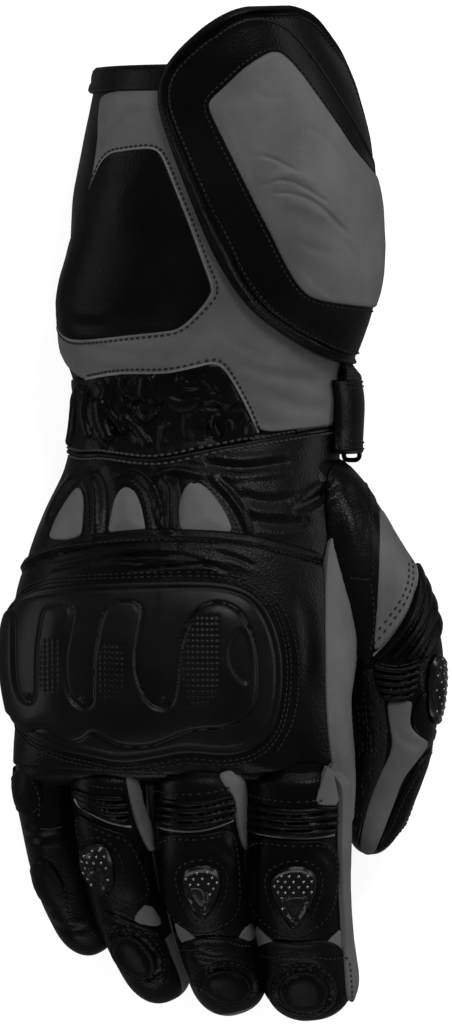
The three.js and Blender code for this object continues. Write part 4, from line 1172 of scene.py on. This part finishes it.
# %% Side strips
panel("hand_side_leather", hand, [(346, 486), (339, 508), (328, 535), (323, 560), (322, 650), (324, 720), (328, 760), (332, 784), (338, 804), (344, 826), (349, 826), (352, 806), (354, 784),
                                  (352, 760), (348, 730), (347, 700), (351, 680), (355, 650), (355, 610), (353, 570), (351, 530), (349, 500)],
      grey_leather, "grey_leather", ["hand_side_strip"], padding(1.0, 0.6, 0.5, 5, seam=(2.2, 0.2, 0.6)), d0=1.2, low=0.0, step=1.7)


def strip_shape(e, px, py):
    """At the finger root the strip dives under the one on the hand."""
    return 0.9 * quarter(e, 0.6) + 0.4 - 0.2 * hill(e, 2.2, 0.6) - 8.0 * np.clip((787 - py) / 28, 0, 1) ** 1.3


panel("index_side_leather", index, [(334, 764), (335, 778), (338, 792), (339, 806), (338, 850), (340, 900), (343, 960), (345, 996), (348, 1008), (362, 1006),
                                    (378, 960), (374, 900), (372, 840), (373, 790), (372, 750)],
      grey_leather, "grey_leather", ["index_side_strip"], strip_shape, d0=0.8, low=-1.2, step=1.2, slim=0.2)

# %% [markdown]
# ## Fingers
# Each finger has ribbed stretch leather over the knuckle, a padded panel with a small
# glossy guard, and a tip panel with an oval pad. The leather of a rib is folded over a
# strip of foam and sewn down on both sides, so each rib is a half-round ridge along a
# line, and a sharp groove stays between two of them.


# %% Finger pieces
def folded(ribs, high=1.5, base=0.3):
    """Half-round ribs: each is its half width in mm and its line in pixels."""
    def shape(e, px, py):
        gap = np.min([reach(np.c_[px, py], outline(line, False))[0] * PIXEL / half for half, line in ribs], axis=0)
        return (base + high * np.sqrt(np.maximum(1 - gap**2, 0))) * quarter(e, 0.6)
    return shape


ACCORDIONS = {
    "index": (index, [(247, 798), (262, 804), (290, 809), (318, 807), (336, 801), (337, 836), (318, 839), (290, 840), (262, 836), (248, 832)],
              [(1.2, [(246, y), (270, y + 4), (300, y + 6), (339, y + 1)]) for y in (808, 815.5, 823, 830.5)]),
    "middle": (middle, [(147, 792), (164, 799), (195, 802), (215, 800), (231, 793), (235, 820), (218, 828), (195, 832), (170, 830), (154, 826)],
               [(1.2, [(146, y), (172, y + 7), (200, y + 8), (238, y - 2)]) for y in (797, 804.5, 812, 819.5)]),
    "ring": (ring, [(73, 788), (90, 794), (108, 796), (126, 796), (131, 826), (112, 824), (96, 818), (78, 808), (74, 800)],
             [(1.2, line) for line in ([(70, 790), (92, 798), (112, 800), (130, 798)], [(72, 796), (96, 806), (114, 808), (131, 806)],
                                       [(76, 803), (100, 814), (116, 816), (133, 814)], [(84, 811), (102, 820), (118, 824), (134, 822)])]),
}
for name, (tube, line, ribs) in ACCORDIONS.items():
    panel(name + "_ribbed_knuckle", tube, line, black_leather, "black_leather", [name + "_accordion"],
          folded(ribs), step=0.42, spacing=0.6, times=2, d0=0.1, rings=(0.08, 0.3, 0.6), smooth=70)



def root_shape(e, px, py):
    """The root of a finger slopes up out of the knuckle panel."""
    return 0.9 * quarter(e, 0.6) + 0.25 * (1 - np.exp(-((e / 5) ** 1.6))) - 5.0 * np.clip((786 - py) / 20, 0, 1) ** 1.6 - 0.2 * hill(e, 1.8, 0.5)


for name, tube, line in (
    ("index", index, [(246, 764), (290, 766), (327, 764), (331, 780), (336, 802), (326, 808), (300, 812), (270, 809), (249, 802), (244, 785)]),
    ("middle", middle, [(141, 768), (180, 771), (221, 768), (225, 780), (231, 796), (214, 803), (192, 806), (164, 802), (147, 795), (140, 780)]),
    ("ring", ring, [(76, 763), (100, 765), (124, 766), (125, 780), (129, 799), (110, 799), (92, 797), (74, 790), (71, 776)]),
):
    panel(name + "_root_leather", tube, line, black_leather, "black_leather", [], root_shape, step=1.0, times=2, low=-1.2)

BACKS = {
    "index": (index, [(251, 836), (290, 843), (334, 840), (339, 870), (337, 900), (332, 920), (318, 935), (300, 942), (280, 940), (262, 926), (252, 905), (247, 870)]),
    "middle": (middle, [(158, 838), (176, 834), (200, 836), (233, 828), (237, 850), (240, 890), (240, 912), (232, 928), (205, 938), (188, 934), (170, 920), (159, 895), (153, 865)]),
    "ring": (ring, [(74, 812), (92, 823), (110, 831), (130, 836), (141, 860), (149, 886), (150, 898), (140, 905), (128, 912), (108, 902), (92, 876), (78, 842)]),
}
for name, (tube, line) in BACKS.items():
    piece = panel(name + "_back_leather", tube, line, pad_leather, "black_leather", [name + "_back_panel"],
                  padding(1.0, 0.7, 1.3, 5, seam=(1.6, 0.22, 0.5)), step=1.3, times=3)

SHIELDS = {
    "index": (index, [(272, 877), (282, 868), (296, 865), (308, 867), (317, 876), (316, 892), (310, 908), (302, 924), (296, 930), (290, 928), (281, 911), (274, 894)],
              [(284, 896), (305, 894), (307, 902), (300, 917), (294, 919), (288, 910)]),
    "middle": (middle, [(182, 873), (190, 866), (202, 864), (214, 866), (221, 876), (219, 892), (214, 906), (206, 919), (199, 919), (190, 906), (184, 890)],
               [(190, 884), (204, 886), (207, 900), (203, 911), (197, 906), (191, 896)]),
    "ring": (ring, [(84, 849), (92, 843), (102, 843), (110, 852), (115, 868), (115, 884), (110, 894), (101, 894), (91, 882), (85, 866)],
             [(93, 868), (104, 868), (108, 880), (105, 889), (98, 885)]),
}
for name, (tube, line, drop) in SHIELDS.items():
    def shield_shape(e, px, py, drop=drop):
        """A dome with a raised rim and a smooth sunk drop in its lower half."""
        at = np.c_[px, py]
        gap = reach(at, outline(drop), True)[0] * PIXEL
        within = np.where(contains(at, outline(drop)), gap, -gap)
        sunk = 1 / (1 + np.exp(-(within - 0.1) / 0.15))
        h = 0.9 * quarter(e, 0.8) + 0.7 * hill(e, 1.0, 0.45) + 0.9 * (1 - np.exp(-((e / 2.2) ** 2)))
        return h - 0.9 * sunk + 0.35 * hill(within, -0.25, 0.3)
    panel(name + "_finger_guard", tube, line, shield_gloss, "shield", [name + "_guard"], shield_shape,
          d0=2.0, low=1.0, step=0.42, spacing=0.5, rings=(0.06, 0.3, 0.6, 0.95, 1.3), times=3)

TIPS = {
    "index": (index, [(255, 952), (275, 942), (300, 946), (325, 942), (343, 950), (349, 975), (350, 1000), (340, 1016), (315, 1022), (290, 1020), (272, 1008), (260, 990), (254, 968)],
              [(303, 971), (321, 977), (331, 992), (326, 1010), (306, 1016), (287, 1011), (279, 995), (285, 979)]),
    "middle": (middle, [(178, 946), (200, 938), (225, 940), (247, 941), (253, 960), (257, 985), (256, 998), (246, 1006), (226, 1009), (206, 1001), (192, 985), (183, 965)],
               [(222, 970), (240, 974), (251, 986), (250, 1001), (237, 1009), (217, 1006), (203, 994), (202, 978)]),
    "ring": (ring, [(98, 912), (118, 918), (132, 925), (154, 930), (165, 945), (171, 966), (172, 984), (160, 991), (145, 986), (126, 972), (110, 948)],
             [(113, 937), (131, 936), (146, 947), (156, 963), (154, 978), (140, 984), (122, 973), (110, 954)]),
}
for name, (tube, line, oval) in TIPS.items():
    def tip_shape(e, px, py, oval=oval):
        """A sewn edge, and the groove and roll that frame the oval pad."""
        gap = reach(np.c_[px, py], outline(oval), True)[0] * PIXEL
        h = 0.8 * quarter(e, 0.7) + 0.5 * (1 - np.exp(-((e / 5) ** 1.6))) - 0.2 * hill(e, 1.5, 0.5)
        return h - 0.6 * hill(gap, 0.5, 0.45) + 0.55 * hill(gap, 1.5, 0.5) - 0.25 * hill(gap, 2.5, 0.5)

    def oval_shape(e, px, py):
        """A low pad with a rim and a groove inside the rim."""
        return 0.7 * quarter(e, 0.6) + 0.8 * (1 - np.exp(-((e / 2.2) ** 2))) - 0.4 * hill(e, 1.2, 0.35)

    panel(name + "_tip_leather", tube, line, black_leather, "black_leather", [name + "_tip_panel"], tip_shape, step=0.65, times=3)
    piece = panel(name + "_tip_oval", tube, oval, pad_leather, "black_leather", [name + "_tip_pad"], oval_shape,
                  d0=1.0, low=0.3, step=0.9, spacing=0.6, rings=(0.06, 0.3, 0.7, 1.0, 1.2, 1.5))

# %% [markdown]
# Strips of grey leather join the fingers to each other, and small grey darts let the
# finger bend. They are cut and laid like the rest.

# %% Strips, darts and pads
panel("middle_side_leather", middle, [(218, 776), (228, 770), (241, 771), (246, 785), (250, 810), (255, 832), (257, 848), (250, 857), (243, 852), (238, 834), (234, 812), (231, 797), (223, 788)],
      grey_leather, "grey_leather", ["middle_side_strip"], padding(0.9, 0.7, 0.7, 3), step=1.1, d0=0.6)
panel("ring_side_leather", ring, [(124, 776), (135, 776), (139, 790), (142, 808), (150, 830), (153, 842), (151, 856), (146, 850), (138, 832), (131, 812), (126, 792)],
      grey_leather, "grey_leather", ["ring_side_strip"], padding(0.9, 0.7, 0.7, 3), step=1.1, d0=0.6)
DARTS = [
    ("dart_1", index, [(256, 926), (266, 937), (286, 955), (270, 955), (257, 952)]),
    ("dart_2", index, [(344, 930), (344, 958), (330, 958), (315, 957), (330, 943)]),
    ("dart_3", middle, [(173, 921), (186, 931), (202, 946), (190, 948), (180, 946)]),
    ("dart_4", middle, [(236, 946), (243, 933), (253, 924), (256, 944)]),
    ("dart_5", ring, [(130, 922), (148, 903), (165, 930), (142, 929)]),
    ("index_root_dart", index, [(325, 766), (329, 768), (336, 803), (335, 807), (318, 806), (314, 803)]),
]
for name, tube, line in DARTS:
    panel("grey_" + name, tube, line, grey_leather, "grey_leather", [], padding(0.5, 0.4, 0.1, 3), step=0.9, d0=1.7 if "root" in name else 0.1, times=1)
root_oval = panel("little_root_oval", little, [(16, 772), (26, 768), (35, 775), (41, 788), (42, 803), (36, 815), (25, 818), (14, 812), (8, 795), (10, 780)], pad_leather, "black_leather",
      ["little_root_pad"], padding(0.9, 0.7, 1.1, 4, seam=(1.3, 0.2, 0.5)), step=1.1)
back_oval = panel("little_back_oval", little, [(30, 866), (42, 862), (52, 868), (60, 882), (66, 897), (66, 908), (58, 913), (46, 910), (34, 898), (27, 880)], pad_leather, "black_leather",
      ["little_back_pad"], padding(0.9, 0.7, 1.1, 4, seam=(1.3, 0.2, 0.5)), step=1.1)

# %% [markdown]
# ## The thumb
# The thumb leaves the hand low on its side. A grey panel faces up, stretch ribs curve
# round its knuckle, and a grey gusset runs down to the tip beside a dark grip patch.

# %% Thumb pieces
panel("thumb_grey_leather", thumb, [(379, 505), (388, 518), (400, 540), (412, 558), (418, 568), (418, 582), (412, 603), (401, 625), (387, 643), (374, 657), (376, 620), (378, 560)],
      grey_leather, "grey_leather", ["thumb_panel"], padding(0.9, 0.7, 0.9, 6, seam=(2.0, 0.2, 0.6)), step=1.4)
THUMB_RIBS = [(1.25, line) for line in (
    [(419, 562), (422, 585), (416, 610), (403, 634), (388, 651), (374, 660)], [(426, 572), (429, 594), (423, 618), (410, 641), (396, 657)],
    [(433, 584), (436, 602), (430, 626), (417, 649), (410, 658)], [(440, 596), (442, 614), (437, 634), (424, 658)],
)] + [(1.15, [(374, y), (392, y + 4), (406, y + 4), (418, y - 1)]) for y in (667, 674, 681, 688, 695)]
panel("thumb_ribbed_knuckle", thumb, [(416, 561), (424, 568), (434, 582), (441, 598), (443, 618), (438, 638), (428, 656), (420, 668), (416, 698), (400, 702), (386, 702),
                                      (378, 690), (373, 664), (388, 648), (402, 630), (413, 606), (418, 584)],
      black_leather, "black_leather", ["thumb_accordion"], folded(THUMB_RIBS, 2.1), step=0.42, spacing=0.6, d0=0.2, times=2, rings=(0.08, 0.3, 0.6), smooth=70, slim=0.5)
panel("thumb_web_strip", thumb, [(326, 470), (340, 460), (352, 456), (361, 460), (369, 480), (377, 498), (380, 520), (382, 560), (381, 600), (377, 640), (372, 668),
                                 (362, 664), (350, 640), (340, 600), (332, 560), (326, 520)],
      black_leather, "black_leather", [], padding(0.8, 0.6, 0.7, 5, seam=(1.8, 0.25, 0.5)), step=1.3)
panel("thumb_gusset_leather", thumb, [(388, 701), (400, 703), (414, 701), (412, 714), (411, 726), (418, 736), (430, 743), (426, 752), (414, 768), (404, 782), (398, 800),
                                      (388, 826), (380, 848), (374, 858), (366, 858), (362, 850), (364, 830), (372, 800), (382, 775), (390, 760), (394, 744), (390, 722)],
      grey_leather, "grey_leather", ["thumb_gusset"], padding(0.8, 0.6, 0.5, 3), step=1.0, times=2)


def thumb_guard_shape(e, px, py):
    return 1.0 * quarter(e, 0.9) + 0.6 * hill(e, 1.0, 0.5) + 0.8 * (1 - np.exp(-((e / 2.4) ** 2)))


THUMB_GUARD = [(430, 662), (436, 654), (444, 658), (452, 672), (458, 690), (455, 708), (448, 722), (438, 728), (431, 722), (428, 700), (428, 680)]
panel("thumb_knuckle_guard", thumb, THUMB_GUARD, shield_gloss,
      "shield", ["thumb_guard"], thumb_guard_shape, d0=0.6, low=0.0, step=0.5, spacing=0.5, rings=(0.06, 0.3, 0.6, 1.0, 1.4))


def bobbled(e, px, py):
    """Short dashes stand up in rows along the patch."""
    dots = np.maximum(np.sin(px * 0.95), 0) ** 2 * np.maximum(np.sin(py * 0.42 + np.floor(px * 0.95 / 6.283) * 3), 0) ** 0.6
    return 0.7 * quarter(e, 0.6) + 0.5 * dots * np.clip((e - 1.2) / 0.5, 0, 1)


panel("thumb_grip_patch", thumb, [(376, 668), (384, 690), (389, 720), (390, 745), (386, 770), (376, 792), (366, 820), (360, 850), (352, 846), (346, 820), (342, 790), (338, 750), (340, 715), (350, 690), (362, 672)],
      grip, "black_leather", ["thumb_inner_panel"], bobbled, step=0.9)
THUMB_OUTER = [(430, 752), (446, 738), (444, 760), (432, 790), (414, 820), (396, 842), (380, 856), (378, 852), (388, 830), (400, 802), (412, 778)]
panel("thumb_outer_leather", thumb, THUMB_OUTER, black_leather, "black_leather", [], padding(0.8, 0.7, 0.7, 4, seam=(1.6, 0.2, 0.5)), step=1.2)
THUMB_BACK = [(418, 700), (430, 688), (426, 700), (427, 716), (434, 730), (446, 736), (432, 746), (420, 738), (413, 728), (414, 712)]
panel("thumb_back_leather", thumb, THUMB_BACK, black_leather, "black_leather", [], padding(0.8, 0.7, 0.5, 4), step=1.2)
print("pieces:", len(PIECES))
# %% [markdown]
# ## The wrist strap and its ring
# A leather strap closes the wrist on the thumb side. It is folded round a rectangular wire
# ring and sewn down, so only the two ends of the ring are seen from above. The strap is a
# grid that swells away from the cuff, made thick with Solidify and rounded with Bevel.

# %% Strap and ring
def strap_lift(th, t):
    """The strap leaves the cuff, runs over the ring and comes back under it."""
    return 1.8 + 5.0 * np.sin(np.pi * np.clip((th - 66) / 68, 0, 1)) ** 0.7


strap = wrapped_grid("wrist_strap_leather", cuff, np.linspace(66, 134, 40), np.linspace(-0.045, 0.158, 24), strap_lift)
give(strap, "SOLIDIFY", thickness=0.003, offset=0)
give(strap, "BEVEL", width=0.0007, segments=3)
close_seam(strap)
for vertex in strap.data.vertices:
    vertex.co.z = max(vertex.co.z, 0)
keep(strap, black_leather, "webbing", "wrist_strap")



def band_lift(th, t):
    """The elastic comes out from under the flap and climbs to the strap."""
    side = np.sin(np.pi * np.clip((th - 66) / 68, 0, 1)) ** 0.7
    return 1.2 + (0.6 + 5.2 * side) * np.clip((0.216 - t) / 0.03, 0, 1) ** 0.7


band = wrapped_grid("strap_elastic_band", cuff, np.linspace(74, 126, 30), np.linspace(0.13, 0.24, 24), band_lift)
give(band, "SOLIDIFY", thickness=0.0012, offset=0)
close_seam(band)
keep(band, webbing, "webbing")

middle_of_ring = cuff.at(102, 0.056, 5.0, 0)[0]
corner = []
for x, y, first in ((2.6, 14.4, 0), (-2.6, 14.4, 90), (-2.6, -14.4, 180), (2.6, -14.4, 270)):
    for turn in np.radians(np.linspace(first, first + 90, 7)):
        corner.append(middle_of_ring + [x - math.copysign(1.6, x) + 1.6 * math.cos(turn), y - math.copysign(1.6, y) + 1.6 * math.sin(turn), 0])
wire = cord_mesh("strap_wire_ring", [np.array(corner)], 0.8, wire_steel, "wire", closed=True, sides=5)
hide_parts("strap_ring")
print("ring, mm:", np.ptp(np.array(corner), axis=0).round(1))

# %% [markdown]
# ## Between the fingers
# Where two fingers part, the strip between them is drawn down into a small saddle, which
# closes the slit at the root.

# %% Finger webs
def on_side(tube, th, y):
    """The place on a tube at an angle where it crosses a line y."""
    t = np.linspace(0, 1, 240)
    line = tube.point(np.full(240, th), t)
    return np.stack([np.interp(-y, -line[:, 1], line[:, k]) for k in range(3)], 1)


for name, left, right, first, last, look, kind in (
    ("ring_middle_web", ring, middle, 770, 872, grey_leather, "grey_leather"),
    ("middle_index_web", middle, index, 770, 862, grey_leather, "grey_leather"),
    ("little_ring_web", little, ring, 770, 850, black_leather, "black_leather"),
):
    y = (514.8 - np.linspace(first, last, 40)) * PIXEL
    a, b = on_side(left, 66, y), on_side(right, -66, y)
    shares = np.linspace(-0.15, 1.15, 15)
    grid = a[:, None] + (b - a)[:, None] * shares[None, :, None]
    grid[:, :, 2] -= 1.4 + 1.2 * np.cos(np.pi * (shares - 0.5)) + np.linspace(0, 5, 40)[:, None] ** 1.2 * 0.5
    faces = [(i * 15 + j, (i + 1) * 15 + j, (i + 1) * 15 + j + 1, i * 15 + j + 1) for i in range(39) for j in range(14)]
    web = mesh_piece(name, grid.reshape(-1, 3), faces)
    give(web, "SOLIDIFY", thickness=0.0012, offset=0)
    close_seam(web)
    keep(web, look, kind)

# %% [markdown]
# Each small guard carries bright studs above its drop: spheres, half sunk, set in rows.

# %% Studs
def studs(name, tube, line, drop, spacing=1.75, size=0.52):
    """Small spheres on a guard, clear of its rim and of the drop."""
    edge = pattern(tube, line, spacing=0.5)
    spots = lattice(edge, spacing, 1.35)
    if drop:
        hole = pattern(tube, drop, spacing=0.5)
        spots = spots[~contains(spots, hole) & (reach(spots, hole, True)[0] > 0.5)]
    places, ups = settle(ground(name), tube, spots, 0.1)
    deselect()
    bpy.ops.mesh.primitive_ico_sphere_add(subdivisions=2, radius=size)
    ball = bpy.context.object
    form = np.array([v.co for v in ball.data.vertices])
    faces = [tuple(p.vertices) for p in ball.data.polygons]
    bpy.data.objects.remove(ball)
    all_faces = [tuple(k * len(form) + v for v in f) for k in range(len(places)) for f in faces]
    thing = mesh_piece(name + "_studs", np.vstack([p + form for p in places]), all_faces)
    print(thing.name, len(places))
    return keep(thing, stud_gloss, "shield")


for name, (tube, line, drop) in SHIELDS.items():
    studs(name + "_finger_guard", tube, line, drop)
studs("thumb_knuckle_guard", thumb, THUMB_GUARD, None, 2.2, 0.45)

# %% [markdown]
# ## Sewing it together
# Grey piping, painted paler than the grey leather as a painted highlight along its roll, shows where grey leather meets
# black; black piping runs along the flap.
# Every seam has its row of stitches, 1.6 mm apart: beside the piping, in the grooves of
# the padded panels and in rings round the guards.

# %% Piping
ON_CUFF = ground("gauntlet_shell", "cuff_top_leather", "cuff_padded_panel", "cuff_flap_leather", "flap_soft_pad", "gathered_wrist")
ON_HAND = ground("hand_shell", "hand_back_leather", "gathered_wrist", "cuff_top_leather", "knuckle_leather", "knuckle_guard_cap", "hand_side_leather",
                 "tendon_flute_1", "tendon_flute_2", "tendon_flute_3")
ON_STRAP = ground("wrist_strap_leather")
ON = {"thumb": ground(*[name for name in PIECES if name.startswith("thumb")])}
for name in ("index", "middle", "ring", "little"):
    ON[name] = ground("knuckle_leather", *[piece for piece in PIECES if piece.startswith(name) or piece.startswith("grey")])


def piping(name, tree, tube, lines, radius, look, kind, closed=False, sink=0.1):
    """Round cord laid along lines, each in pixels or already flat on the tube."""
    runs = []
    for line in lines:
        line = line if isinstance(line, np.ndarray) else pattern(tube, line, closed, 3, 0.8)
        runs.append(evened(settle(tree, tube, line, sink)[0]))
    return cord_mesh(name, runs, radius, look, kind, closed)


GATHER_TOP = [(84, 378), (104, 374), (125, 371), (160, 372), (190, 366), (209, 361), (218, 361), (226, 368), (238, 388), (249, 410), (258, 432)]
CUFF_EDGE = pattern(cuff, CUFF_PANEL, times=2)
piping("cuff_panel_piping", ON_CUFF, cuff, [shifted(CUFF_EDGE, -0.35)], 0.42, grey_piping_painted_highlight, "grey_leather", closed=True)
piping("wrist_piping", ON_CUFF, cuff, [GATHER_TOP], 0.5, grey_piping_painted_highlight, "grey_leather", sink=0.0)
piping("flap_piping", ON_CUFF, cuff, [[(240, 20), (262, 20), (282, 32), (305, 62), (335, 110), (360, 155), (378, 192)]], 0.7, black_piping, "black_leather", sink=0.2)
SEAM = [(60, 449), (78, 454), (100, 453), (130, 459), (160, 461), (190, 455), (215, 449), (260, 441), (300, 434), (340, 427)]
piping("wrist_seam_roll", ON_HAND, hand, [SEAM], 0.85, black_piping, "black_leather", sink=0.15)
for name, tube, lines in (
    ("index_piping", index, [[(250, 833), (275, 838), (307, 841), (335, 837)]]),
    ("middle_piping", middle, [[(153, 827), (166, 832), (192, 834), (214, 830), (233, 822)]]),
    ("ring_piping", ring, [[(78, 800), (82, 810), (94, 818), (112, 826), (131, 829)]]),
    ("thumb_piping", thumb, [[(415, 561), (418, 580), (412, 604), (400, 626), (386, 645), (374, 657)]]),
):
    piping(name, ON[name.split("_")[0]], tube, lines, 0.4, grey_piping_painted_highlight, "grey_leather")

# %% Stitches
def row(tree, tube, pixels, closed=False):
    return tree, tube, pattern(tube, pixels, closed, 3, 0.8), closed


def beside(tree, tube, edge, far):
    """A row that follows a closed edge, far mm inside it, or outside where far is negative."""
    return tree, tube, shifted(edge, far), True


def moved(pixels, x, y):
    return [(a + x, b + y) for a, b in pixels]


WRIST = [(60, 446), (78, 451), (100, 450), (130, 456), (160, 458), (190, 452), (215, 446), (260, 438), (300, 431), (340, 424)]
strap_rows = [(ON_STRAP, cuff, flat(cuff, np.linspace(70, 96, 30), np.full(30, t)), False) for t in (0.147, 0.13, -0.016, -0.034)]
ROLL = [(28, 562), (44, 553), (84, 545), (128, 541), (195, 541), (250, 547), (280, 553), (318, 564)]
stitches("cuff_stitches", [
    beside(ON_CUFF, cuff, CUFF_EDGE, -1.25),
    row(ON_CUFF, cuff, moved(GATHER_TOP, 1.5, -3.5)),
    *strap_rows,
    beside(ON_CUFF, cuff, pattern(cuff, FLAP), 4.4),
    beside(ON_CUFF, cuff, pattern(cuff, PAD, times=2), -1.1),
], long=1.3, gap=0.5, thick=0.65)
stitches("wrist_stitches", [row(ON_HAND, hand, moved(WRIST, 0, -1)), row(ON_HAND, hand, moved(WRIST, 0, 7))],
         heavy_thread_painted_highlight, long=1.6, gap=0.6, thick=0.95)
GUARD_EDGE = pattern(hand, GUARD)
hand_rows = [
    row(ON_HAND, hand, ROLL),
    beside(ON_HAND, hand, GUARD_EDGE, -1.4),
    beside(ON_HAND, hand, GUARD_EDGE, -2.7),
    row(ON_HAND, hand, [(130, 480), (142, 492), (147, 512), (150, 530)]),
    row(ON_HAND, hand, [(84, 488), (87, 510), (88, 532)]),
    row(ON_HAND, hand, [(199, 480), (217, 495), (231, 514), (239, 532)]),
    row(ON_HAND, hand, [(262, 590), (280, 606), (294, 640), (298, 680), (293, 722), (276, 752)]),
]
for name, (tube, line, drop) in SHIELDS.items():
    hand_rows.append(beside(ON[name], tube, pattern(tube, line), -1.3))
for name, (tube, line, oval) in TIPS.items():
    hand_rows.append(beside(ON[name], tube, pattern(tube, oval), -1.9))
for name, (tube, line) in BACKS.items():
    hand_rows.append(beside(ON[name], tube, pattern(tube, line), 1.5))
for name, tube, line in (
    ("index", index, [(250, 796), (270, 801), (295, 804), (322, 801)]), ("middle", middle, [(147, 788), (164, 794), (190, 796), (215, 793), (228, 788)]),
    ("ring", ring, [(84, 784), (100, 789), (122, 790)]), ("ring", ring, [(130, 932), (148, 936), (168, 938)]),
    ("middle", middle, [(228, 944), (240, 949), (254, 949)]), ("middle", middle, [(180, 952), (196, 952), (206, 946)]),
    ("index", index, [(260, 958), (274, 960), (288, 956)]), ("index", index, [(312, 958), (328, 962), (345, 961)]),
    ("index", index, [(346, 965), (349, 985), (349, 1008)]), ("index", index, [(318, 808), (328, 809), (337, 808)]),
    ("little", little, [(58, 872), (63, 890), (66, 920)]), ("little", little, [(19, 768), (33, 781), (40, 803), (37, 820)]),
    ("little", little, [(40, 831), (50, 832), (60, 829)]),
    ("thumb", thumb, [(366, 482), (371, 520), (373, 578)]), ("thumb", thumb, [(371, 583), (374, 600), (376, 624), (372, 652)]),
    ("thumb", thumb, [(351, 578), (362, 580), (371, 580)]), ("thumb", thumb, [(411, 561), (413, 582), (406, 602), (395, 620), (382, 637), (374, 647)]),
    ("thumb", thumb, [(407, 564), (408, 582), (402, 599), (391, 616), (379, 632)]),
):
    hand_rows.append(row(ON[name], tube, line))
hand_rows.append(beside(ON["thumb"], thumb, pattern(thumb, THUMB_OUTER), 1.6))
DASHES = [row(ON["thumb"], thumb, [(x, 706), (x + 3, 730), (x + 2, 760)]) for x in (347, 354, 361, 368, 375, 382)]
stitches("grip_dashes", DASHES, long=1.5, gap=1.5, thick=0.5)
stitches("hand_stitches", hand_rows, long=1.3, gap=0.5, thick=0.65)
print("pieces:", len(PIECES))

# %% [markdown]
# ## The table
# A plain white sheet under the glove. It glows a little, as a lit product table does, so
# the background stays white. The glove is shown as if cut out on white: the table's glow
# isn't mirrored in the leather, so the glove's edges stay dark.

# %% The table
deselect()
bpy.ops.mesh.primitive_plane_add(size=8, location=(0, 0, -0.0006))
table = bpy.context.object
table.name = "table"
material, tree, shader, where = finish("white_table")
shader.inputs["Base Color"].default_value = rgb("#f4f4f4")
shader.inputs["Roughness"].default_value = 0.9
shader.inputs["Specular IOR Level"].default_value = 0.1
shader.inputs["Emission Color"].default_value = (1, 1, 1, 1)
shader.inputs["Emission Strength"].default_value = 0.85
table.data.materials.append(material)
table.visible_diffuse = False
table.visible_glossy = False
